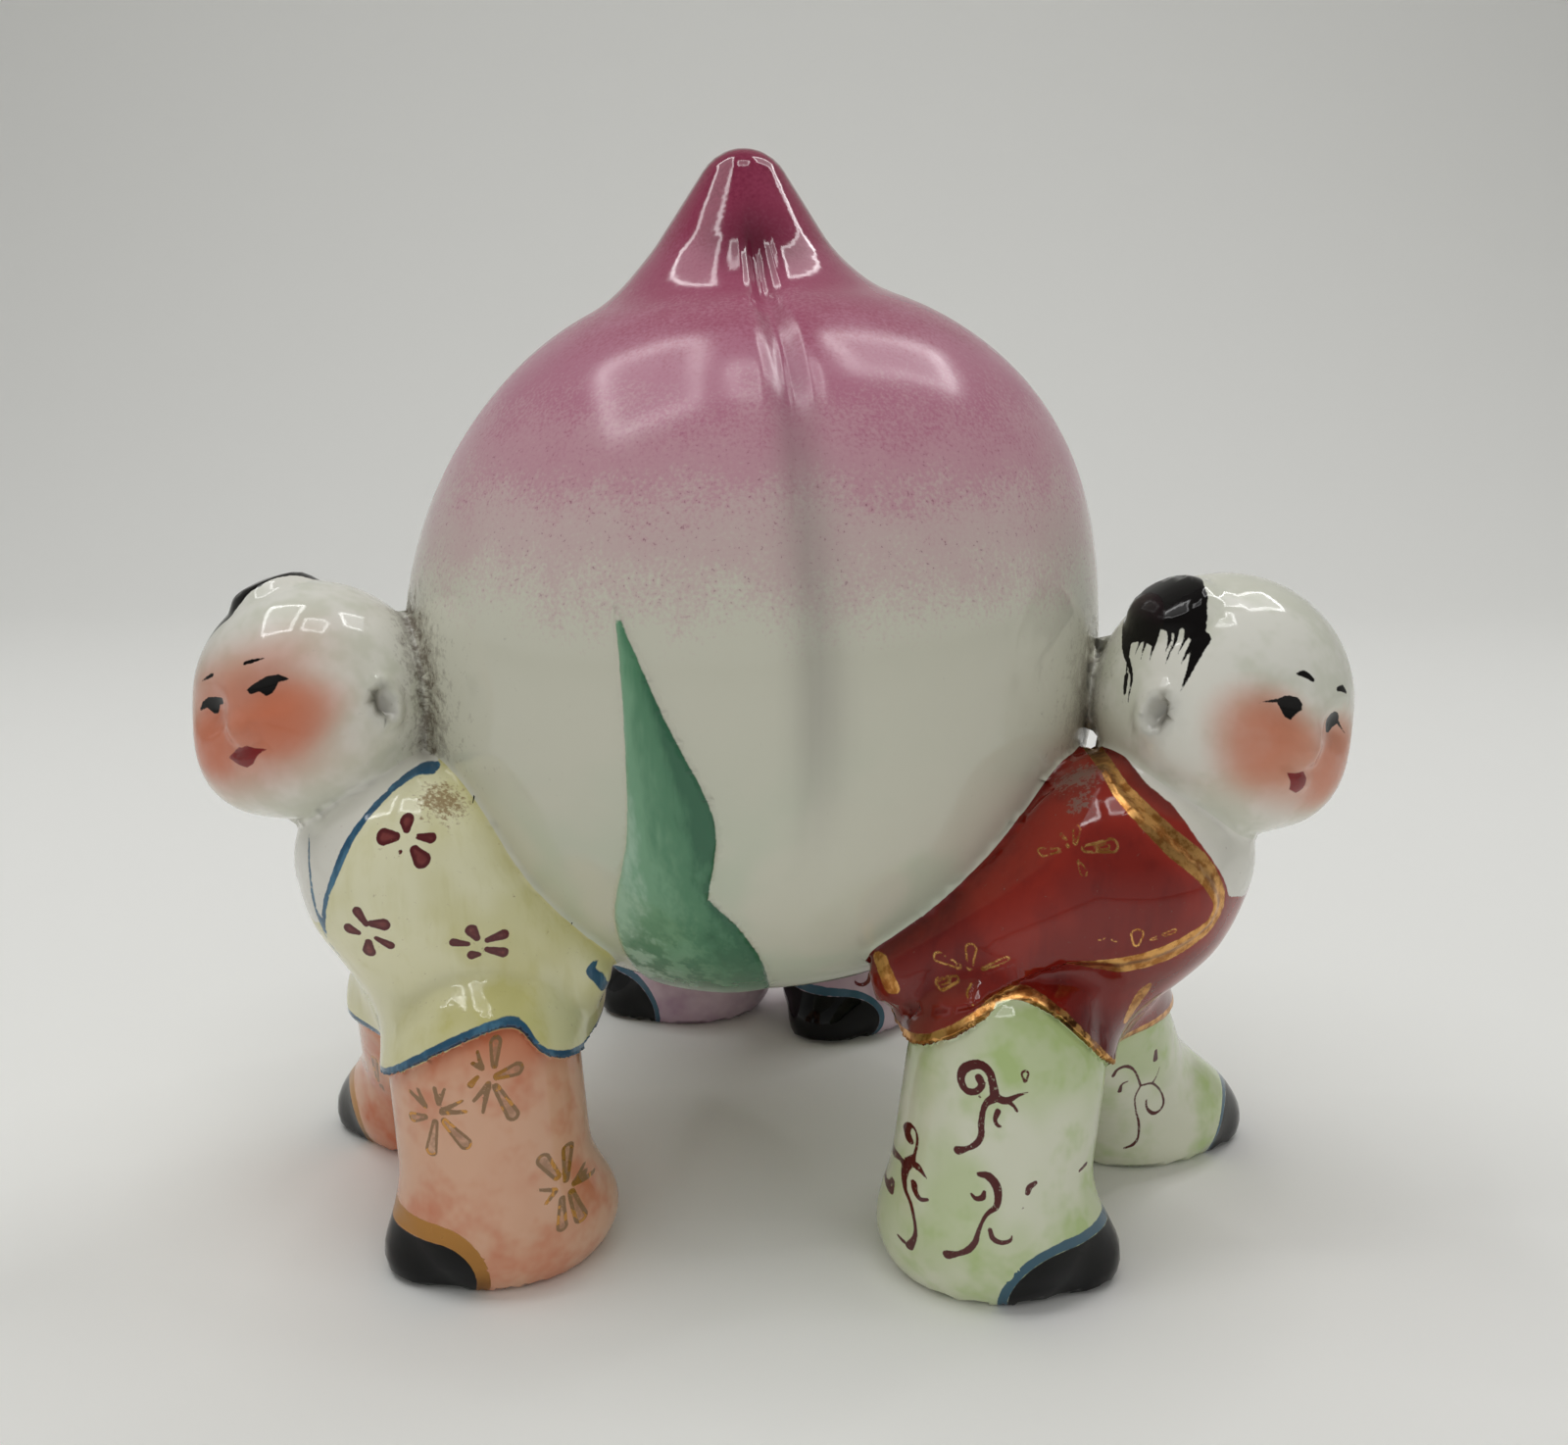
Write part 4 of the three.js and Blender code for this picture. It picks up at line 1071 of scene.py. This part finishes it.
# Materials are written as arithmetic on the sockets of shader nodes
class Painter:
    def __init__(self, name):
        self.material = bpy.data.materials.new(name)
        self.material.use_nodes = True
        self.tree = self.material.node_tree
        self.shader = self.tree.nodes["Principled BSDF"]
        place = self.add("ShaderNodeTexCoord").outputs["Object"]
        self.at = self.vector("SCALE", place, scale=1 / MM)

    def add(self, kind, **settings):
        node = self.tree.nodes.new(kind)
        for key, value in settings.items():
            setattr(node, key, value)
        return node

    def put(self, socket, value):
        if isinstance(value, bpy.types.NodeSocket):
            self.tree.links.new(value, socket)
        else:
            socket.default_value = value

    def maths(self, operation, *values):
        node = self.add("ShaderNodeMath", operation=operation)
        for socket, value in zip(node.inputs, values):
            self.put(socket, value)
        return node.outputs[0]

    def vector(self, operation, value, scale=None):
        node = self.add("ShaderNodeVectorMath", operation=operation)
        self.put(node.inputs[0], value)
        if scale is not None:
            node.inputs["Scale"].default_value = scale
        return node.outputs[0]

    def value(self, name):
        return self.add("ShaderNodeAttribute", attribute_name=name).outputs["Fac"]

    def spread(self, value, low, high, to_low=0.0, to_high=1.0):
        node = self.add("ShaderNodeMapRange", interpolation_type="SMOOTHSTEP")
        for socket, given in zip(node.inputs, (value, low, high, to_low, to_high)):
            self.put(socket, given)
        return node.outputs[0]

    def noise(self, size, detail=2.0, roughness=0.5, stretch=(1, 1, 1), offset=0.0):
        """Noise about 0.5 whose lumps are about size mm."""
        mapping = self.add("ShaderNodeMapping")
        self.put(mapping.inputs["Vector"], self.at)
        mapping.inputs["Scale"].default_value = tuple(share / size for share in stretch)
        mapping.inputs["Location"].default_value = (offset, offset, offset)
        node = self.add("ShaderNodeTexNoise")
        self.put(node.inputs["Vector"], mapping.outputs[0])
        node.inputs["Scale"].default_value = 1.0
        node.inputs["Detail"].default_value = detail
        node.inputs["Roughness"].default_value = roughness
        return node.outputs[0]

    def mix(self, first, second, share):
        node = self.add("ShaderNodeMix", data_type="RGBA")
        self.put(node.inputs["Factor"], share)
        self.put(node.inputs[6], first)
        self.put(node.inputs[7], second)
        return node.outputs[2]

    def ramp(self, value, stops, interpolation="EASE"):
        node = self.add("ShaderNodeValToRGB")
        node.color_ramp.interpolation = interpolation
        elements = node.color_ramp.elements
        while len(elements) < len(stops):
            elements.new(1.0)
        for element, (place, tone) in zip(elements, stops):
            element.position = place
            element.color = tone
        self.put(node.inputs[0], value)
        return node.outputs[0]

    def by_boy(self, *colours):
        """One colour for each boy."""
        share = self.maths("DIVIDE", self.maths("ADD", self.value("boy"), 0.5), len(colours))
        return self.ramp(share, [(n / len(colours), tone) for n, tone in enumerate(colours)], "CONSTANT")

    def part(self, axis):
        node = self.add("ShaderNodeSeparateXYZ")
        self.put(node.inputs[0], self.at)
        return node.outputs[axis]

    def near(self, place, reach):
        """1 at a place in the figure's frame, fading to 0 at a reach from it."""
        node = self.add("ShaderNodeVectorMath", operation="DISTANCE")
        self.put(node.inputs[0], self.at)
        node.inputs[1].default_value = tuple(np.array(place) - FIGURE_TO_BOX)
        return self.spread(node.outputs["Value"], reach, 0)

    def about(self, value, middle, gain):
        """A value less its middle, times a gain."""
        return self.maths("MULTIPLY", self.maths("SUBTRACT", value, middle), gain)

    def inside(self, name, soft=0.07, waver=None, amount=0.2):
        """1 within a painted shape; its edge wavers a little where a noise is given."""
        value = self.value(name)
        if waver is not None:
            value = self.maths("ADD", value, self.about(waver, 0.5, amount))
        return self.spread(value, soft, -soft)

    def times(self, *values):
        product = values[0]
        for value in values[1:]:
            product = self.maths("MULTIPLY", product, value)
        return product


def colour(red, green, blue):
    """A colour as a shader takes it, from its screen values up to 255."""
    def linear(value):
        value = value / 255
        return value / 12.92 if value <= 0.04045 else ((value + 0.055) / 1.055) ** 2.4

    return (linear(red), linear(green), linear(blue), 1)


# Where paint lies on the peach. A pair of heights fades from 0 at the first to 1 at the second.
BLUSH_FROM, BLUSH_SPAN = 72, 60
SPECKLED = ((74, 84), (100, 90))
GREENISH = (70, 45)
GROOVED = ((46, 70), (112, 100))
GROOVE_REDDENS = (88, 104)
SPRAYED = ((82, 92), (116, 108))
LEAF_LEFT, LEAF_WIDTH, LEAF_NARROWS, LEAF_MIDDLE = -17.3, 5, -0.31, 70
LEAF_FOOT = (46, 32)
# Single places and how far they reach
TIP_POOL = ((0.4, -9.5, 117.5), 8)
TARNISHED = ((36.5, -40, 31), 8)
WORN = [((38.4, -29.6, 57), 5.5), ((38, -33.5, 54.6), 3.5), ((-35, -32, 54.8), 5.2)]
GLAZE_IOR = 1.52
GLAZE_RIPPLE = 0.05


class FigurePainter(Painter):
    """The noises, heights and masks that several painted parts share."""

    def __init__(self, name):
        super().__init__(name)
        self.height = self.part("Z")
        self.ahead = self.part("X")
        self.specks = self.noise(0.45, 2, 0.6)
        self.small = self.noise(1.3, 3, 0.6)
        self.cloudy = self.noise(7, 3, 0.6)
        self.wide = self.noise(16, 2, 0.5, offset=3.1)
        self.streaks = self.noise(2.4, 3, 0.6, stretch=(1, 1, 0.22))
        self.is_yellow = self.by_boy((0, 0, 0, 1), (1, 1, 1, 1), (0, 0, 0, 1))
        self.flower = self.inside("motif", 0.05, self.specks, 0.12)
        self.glint = self.times(self.spread(self.noise(1.6, 1, 0.5, offset=5.3), 0.52, 0.58), self.is_yellow)
        broken = self.spread(self.noise(1.0, 1, 0.5, offset=7.7), 0.36, 0.44)
        self.jacket_flower = self.times(self.flower, self.maths("MAXIMUM", self.is_yellow, broken))
        self.edging = self.inside("edging", 0.07, self.small, 0.3)
        self.shoe_edging = self.inside("shoe_edging", 0.07, self.small, 0.3)
        self.ink = self.inside("ink", 0.07, self.specks, 0.22)
        self.in_head = self.inside("head", 0.08)
        self.in_jacket = self.inside("jacket", 0.06)
        self.in_trousers = self.inside("trousers", 0.06)
        self.in_shoes = self.inside("shoes", 0.06, self.small, 0.15)

    def between(self, fades):
        """1 between two heights, fading at each end."""
        rising, falling = fades
        return self.times(self.spread(self.height, *rising), self.spread(self.height, *falling))


def flesh_of(p):
    """The peach: pale, with a sprayed blush that deepens towards the tip."""
    rise = p.maths("ADD", p.height, p.about(p.cloudy, 0.5, 12))
    rise = p.maths("ADD", rise, p.about(p.specks, 0.5, 15))
    share = p.maths("DIVIDE", p.maths("SUBTRACT", rise, BLUSH_FROM), BLUSH_SPAN)
    flesh = p.ramp(share, [
        (0.06, colour(216, 215, 198)), (0.22, colour(210, 186, 184)), (0.36, colour(202, 154, 166)),
        (0.52, colour(188, 120, 144)), (0.68, colour(168, 84, 112)), (0.84, colour(150, 56, 86)),
        (0.97, colour(134, 38, 70)),
    ])
    darker = p.times(p.spread(p.specks, 0.66, 0.72), p.between(SPECKLED))
    flesh = p.mix(flesh, colour(120, 70, 85), p.times(darker, 0.45))
    greenish = p.times(p.spread(p.height, *GREENISH), p.spread(p.wide, 0.45, 0.62))
    flesh = p.mix(flesh, colour(196, 208, 186), p.times(greenish, 0.6))
    in_groove = p.times(p.value("groove"), p.between(GROOVED))
    shade = p.mix(colour(150, 146, 138), colour(140, 60, 96), p.spread(p.height, *GROOVE_REDDENS))
    flesh = p.mix(flesh, shade, p.times(in_groove, 0.45))
    return p.mix(flesh, colour(92, 8, 38), p.times(p.near(*TIP_POOL), 0.85))


def leaf_green_of(p):
    """The leaf, from its pale left side to the dark right margin."""
    span = p.maths("ADD", p.about(p.height, LEAF_MIDDLE, LEAF_NARROWS), LEAF_WIDTH)
    over = p.maths("DIVIDE", p.maths("SUBTRACT", p.ahead, LEAF_LEFT), span)
    over = p.maths("ADD", over, p.about(p.streaks, 0.5, 0.7))
    green = p.ramp(over, [
        (0.05, colour(166, 200, 176)), (0.32, colour(120, 168, 134)), (0.68, colour(84, 138, 103)),
        (0.92, colour(50, 106, 76)),
    ])
    low = p.times(p.spread(p.height, *LEAF_FOOT), p.spread(p.streaks, 0.42, 0.56))
    return p.mix(green, colour(66, 120, 88), p.times(low, 0.8))


def skin_of(p):
    skin = p.mix(colour(234, 233, 223), colour(220, 221, 206), p.spread(p.cloudy, 0.4, 0.6))
    glow = p.times(p.value("blush"), p.spread(p.cloudy, 0.1, 0.5, 0.85, 1))
    skin = p.mix(skin, p.by_boy(colour(212, 124, 88), colour(212, 116, 80), colour(210, 120, 88)), glow)
    lip_red = p.mix(colour(124, 40, 34), colour(142, 24, 30), p.small)
    skin = p.mix(skin, lip_red, p.inside("lips", 0.08))
    skin = p.mix(skin, colour(14, 11, 11), p.ink)
    # Painted shade darkens the ear hollows
    return p.mix(skin, colour(72, 62, 54), p.times(p.value("hollow"), 0.85))


def jacket_of(p):
    plain = p.by_boy(colour(150, 38, 24), colour(238, 235, 200), colour(172, 190, 204))
    deep = p.by_boy(colour(98, 12, 8), colour(210, 204, 138), colour(120, 148, 172))
    # The jacket darkens towards its deep tone at random, and with painted shade in its creases
    tone = p.maths("ADD", p.spread(p.streaks, 0.46, 0.72, 0, 0.22), p.times(p.value("crease_shade"), 0.85))
    tone = p.maths("ADD", tone, p.spread(p.wide, 0.48, 0.62, 0, 0.5))
    jacket = p.mix(plain, deep, tone)
    jacket = p.mix(jacket, colour(232, 230, 220), p.inside("shirt", 0.08, p.small, 0.25))
    gold = p.mix(colour(226, 172, 104), colour(176, 116, 58), p.spread(p.small, 0.4, 0.62))
    tarnish = p.times(p.near(*TARNISHED), p.spread(p.small, 0.44, 0.56))
    gold = p.mix(gold, colour(64, 34, 24), p.times(tarnish, 0.9))
    maroon = p.mix(colour(92, 30, 34), colour(128, 60, 58), p.spread(p.value("motif"), -0.25, -0.6))
    jacket = p.mix(jacket, p.mix(gold, maroon, p.is_yellow), p.jacket_flower)
    blue = p.mix(colour(44, 88, 118), colour(74, 122, 150), p.spread(p.streaks, 0.45, 0.65))
    return p.mix(jacket, p.mix(gold, blue, p.is_yellow), p.edging)


def trousers_of(p):
    plain = p.by_boy(colour(228, 230, 208), colour(226, 178, 148), colour(214, 192, 204))
    deep = p.by_boy(colour(186, 206, 142), colour(206, 116, 78), colour(180, 148, 170))
    # The trousers darken towards their deep tone at random, and with painted shade in their creases
    tone = p.maths("ADD", p.spread(p.wide, 0.42, 0.62, 0, 0.6), p.times(p.value("crease_shade"), 0.5))
    tone = p.maths("ADD", tone, p.spread(p.cloudy, 0.44, 0.7, 0, 0.6))
    trousers = p.mix(plain, deep, tone)
    wash = p.times(p.inside("wash"), p.is_yellow, p.spread(p.small, 0.35, 0.6, 0.2, 0.75))
    trousers = p.mix(trousers, colour(158, 120, 92), wash)
    line = p.by_boy(colour(84, 24, 22), colour(146, 112, 78), colour(104, 34, 40))
    line = p.mix(line, colour(206, 150, 84), p.glint)
    trousers = p.mix(trousers, line, p.times(p.flower, p.spread(p.specks, 0.25, 0.4, 0.55, 1)))
    trim = p.by_boy(colour(52, 92, 112), colour(182, 132, 74), colour(54, 92, 114))
    return p.mix(trousers, trim, p.shoe_edging)


def soot_and_shade_of(p):
    """Kiln soot and painted shade where the heads meet the peach, thickest at the boy in yellow."""
    speckled = p.maths("ADD", p.times(p.small, 0.6), p.times(p.specks, 0.4))
    strength = p.by_boy((0.7, 0.7, 0.7, 1), (1, 1, 1, 1), (0.7, 0.7, 0.7, 1))
    amount = p.maths("ADD", p.about(speckled, 0.5, 2.2), p.value("soot_and_shade"))
    return p.times(p.spread(amount, 0.3, 1.05), strength)


def wear_of(p):
    """Rubbed specks all over the jackets, and more of them at the worn places."""
    worn = p.near(*WORN[0])
    for place, reach in WORN[1:]:
        worn = p.maths("MAXIMUM", worn, p.near(place, reach))
    grainy = p.maths("ADD", p.specks, p.times(p.small, 0.5))
    return p.times(p.in_jacket, p.spread(p.maths("ADD", grainy, p.times(worn, 0.5)), 0.92, 1.25))


def gilding_of(p):
    """Gold on the edges and flowers of the jackets of the boys in red and lilac, and on the shoes and
    blossoms of the boy in yellow.
    """
    golden = p.maths("SUBTRACT", 1, p.is_yellow)
    jacket_gold = p.times(p.in_jacket, golden, p.maths("MAXIMUM", p.edging, p.jacket_flower))
    blossom_gold = p.times(p.flower, p.glint)
    shoe_gold = p.times(p.in_trousers, p.is_yellow, p.maths("MAXIMUM", p.shoe_edging, blossom_gold))
    return p.maths("MAXIMUM", jacket_gold, shoe_gold)


def painted_porcelain():
    p = FigurePainter("painted_porcelain")
    surface = p.mix(flesh_of(p), leaf_green_of(p), p.inside("leaf", 0.09, p.small, 0.3))
    surface = p.mix(surface, skin_of(p), p.in_head)
    surface = p.mix(surface, jacket_of(p), p.in_jacket)
    surface = p.mix(surface, trousers_of(p), p.in_trousers)
    black_glaze = p.mix(colour(7, 7, 8), colour(20, 20, 21), p.spread(p.cloudy, 0.45, 0.7))
    surface = p.mix(surface, black_glaze, p.in_shoes)
    # Painted shade with speckled soot where the heads meet the peach
    soot_and_shade = soot_and_shade_of(p)
    surface = p.mix(surface, colour(84, 64, 46), p.times(soot_and_shade, 0.8))
    wear = wear_of(p)
    under_wear = p.by_boy(colour(118, 96, 84), colour(146, 116, 72), colour(150, 150, 150))
    surface = p.mix(surface, under_wear, p.times(wear, 0.85))
    p.put(p.shader.inputs["Base Color"], surface)

    metal = gilding_of(p)
    p.put(p.shader.inputs["Metallic"], metal)
    rough = p.maths("ADD", p.times(metal, 0.22), p.times(p.maths("MAXIMUM", soot_and_shade, wear), 0.5))
    satin = p.maths("ADD", p.spread(p.small, 0.2, 0.8, 0.05, 0.1), p.times(p.between(SPRAYED), 0.12))
    p.put(p.shader.inputs["Roughness"], p.maths("ADD", rough, satin))
    black = p.maths("MAXIMUM", p.in_shoes, p.times(p.in_head, p.ink))
    p.put(p.shader.inputs["Specular IOR Level"], p.maths("SUBTRACT", 0.5, p.times(black, 0.3)))
    p.shader.inputs["IOR"].default_value = GLAZE_IOR
    bump = p.add("ShaderNodeBump")
    bump.inputs["Strength"].default_value = 1.0
    bump.inputs["Distance"].default_value = GLAZE_RIPPLE * MM
    p.put(bump.inputs["Height"], p.maths("ADD", p.noise(9, 1, 0.4), p.times(p.noise(1.8, 2, 0.6), 0.3)))
    p.put(p.shader.inputs["Normal"], bump.outputs[0])
    return p.material


points, tris, paint = figure_mesh()
figure = mesh_object("glazed_figure", points, tris, paint)
figure.data.materials.append(painted_porcelain())
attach(figure, "root")
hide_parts(NODE)


# Stage, in metres: a seamless pale sweep whose wall is painted darker as shade, soft lights and the camera
SWEEP = dict(front=-3.5, bend=0.45, radius=0.4, steps=16, top=1.6, half_width=3.5, fades=(0.02, 0.35))
SENSOR = 36
FOCAL_LENGTH = 1700 / 1600  # as a share of the sensor's width
CAMERA_PLACE = (4.1, -216, 105)  # mm, in the figure's frame
LOOKS_DOWN = 12.5
SKY = ((0.48, 0.48, 0.465, 1), (0.2, 0.2, 0.194, 1))
SKY_FADES = (0, 0.5)
SOFTBOXES = (
    ("softbox_left", (-0.34, 0.05, 0.76), (0.42, 0.3), 1.5),
    ("softbox_right", (0.34, 0.25, 0.75), (0.24, 0.36), 1.3),
    ("softbox_above", (0.0, -0.08, 0.9), (0.24, 0.2), 0.7),
)
BAR_WIDTH = 0.035
BAR_AHEAD = 0.004
BARS_SHARE = 0.17  # of a softbox's power, in each of the four bars round it
FILLS = (
    ("fill_front", (0.1, -1.1, 0.45), (1.4, 0.9), 0.9),
    ("fill_above", (0.0, -0.5, 0.8), (0.9, 0.5), 0.9),
)
LIT = Vector((0, 0, 0.06))  # where every light is aimed


def fade_by_height(tree, space, heights, colours, socket):
    """Gives a socket a colour that changes between two heights."""
    place = tree.nodes.new("ShaderNodeTexCoord")
    height = tree.nodes.new("ShaderNodeSeparateXYZ")
    share = tree.nodes.new("ShaderNodeMapRange")
    ramp = tree.nodes.new("ShaderNodeValToRGB")
    share.inputs["From Min"].default_value, share.inputs["From Max"].default_value = heights
    for stop, value in zip(ramp.color_ramp.elements, colours):
        stop.color = value
    tree.links.new(place.outputs[space], height.inputs[0])
    tree.links.new(height.outputs["Z"], share.inputs["Value"])
    tree.links.new(share.outputs[0], ramp.inputs[0])
    tree.links.new(ramp.outputs[0], socket)


def staged(name, verts, faces, floor_to_wall_shade):
    mesh = bpy.data.meshes.new(name)
    mesh.from_pydata(verts, [], faces)
    mesh.polygons.foreach_set("use_smooth", np.ones(len(faces), bool))
    thing = bpy.data.objects.new(name, mesh)
    bpy.context.scene.collection.objects.link(thing)
    material = bpy.data.materials.new(name)
    material.use_nodes = True
    tree = material.node_tree
    shader = tree.nodes["Principled BSDF"]
    shader.inputs["Roughness"].default_value = 0.9
    fade_by_height(tree, "Object", SWEEP["fades"], floor_to_wall_shade, shader.inputs["Base Color"])
    mesh.materials.append(material)
    return thing


def sweep_profile():
    """The floor, its bend and the wall behind, as (y, z)."""
    bend, radius, steps = SWEEP["bend"], SWEEP["radius"], SWEEP["steps"]
    line = [(SWEEP["front"], 0.0)]
    for n in range(steps + 1):
        angle = n / steps * math.pi / 2
        line.append((bend + radius * math.sin(angle), radius * (1 - math.cos(angle))))
    return [*line, (bend + radius, SWEEP["top"])]


profile = sweep_profile()
verts = [(side * SWEEP["half_width"], y, z) for y, z in profile for side in (-1, 1)]
faces = [(2 * n, 2 * n + 1, 2 * n + 3, 2 * n + 2) for n in range(len(profile) - 1)]
# Painted shade: the sweep's colour darkens from the floor up its wall
staged("sweep", verts, faces, (colour(250, 250, 247), colour(232, 232, 229)))

camera_data = bpy.data.cameras.new("camera")
camera_data.sensor_width = SENSOR
camera_data.lens = SENSOR * FOCAL_LENGTH
camera = bpy.data.objects.new("camera", camera_data)
camera.location = ((np.array(CAMERA_PLACE) - FIGURE_TO_BOX) * MM).tolist()
camera.rotation_euler = (math.radians(90 - LOOKS_DOWN), 0, 0)
bpy.context.scene.collection.objects.link(camera)
bpy.context.scene.camera = camera

world = bpy.data.worlds.new("studio")
world.use_nodes = True
background = world.node_tree.nodes["Background"]
fade_by_height(world.node_tree, "Generated", SKY_FADES, SKY, background.inputs["Color"])
bpy.context.scene.world = world
bpy.context.scene.view_settings.view_transform = "Standard"


def facing_figure(place):
    return (LIT - Vector(place)).to_track_quat("-Z", "Y")


def area_light(name, place, turn, size, power, mirrored=True):
    light = bpy.data.lights.new(name, "AREA")
    light.shape = "RECTANGLE"
    light.size, light.size_y = size
    light.energy = power
    thing = bpy.data.objects.new(name, light)
    thing.location = place
    thing.rotation_euler = turn.to_euler()
    thing.visible_glossy = mirrored
    bpy.context.scene.collection.objects.link(thing)


def softbox(name, place, size, power):
    """A panel with a brighter bar along each edge."""
    turn = facing_figure(place)
    wide, tall = size
    area_light(name, place, turn, size, power * (1 - 4 * BARS_SHARE))
    for number, (across, up) in enumerate(((1, 0), (-1, 0), (0, 1), (0, -1))):
        shift = turn @ Vector((across * wide / 2, up * tall / 2, BAR_AHEAD))
        bar = (wide, BAR_WIDTH) if up else (BAR_WIDTH, tall)
        area_light(f"{name}_bar_{number}", Vector(place) + shift, turn, bar, power * BARS_SHARE)


for settings in SOFTBOXES:
    softbox(*settings)
for name, place, size, power in FILLS:
    area_light(name, place, facing_figure(place), size, power, mirrored=False)
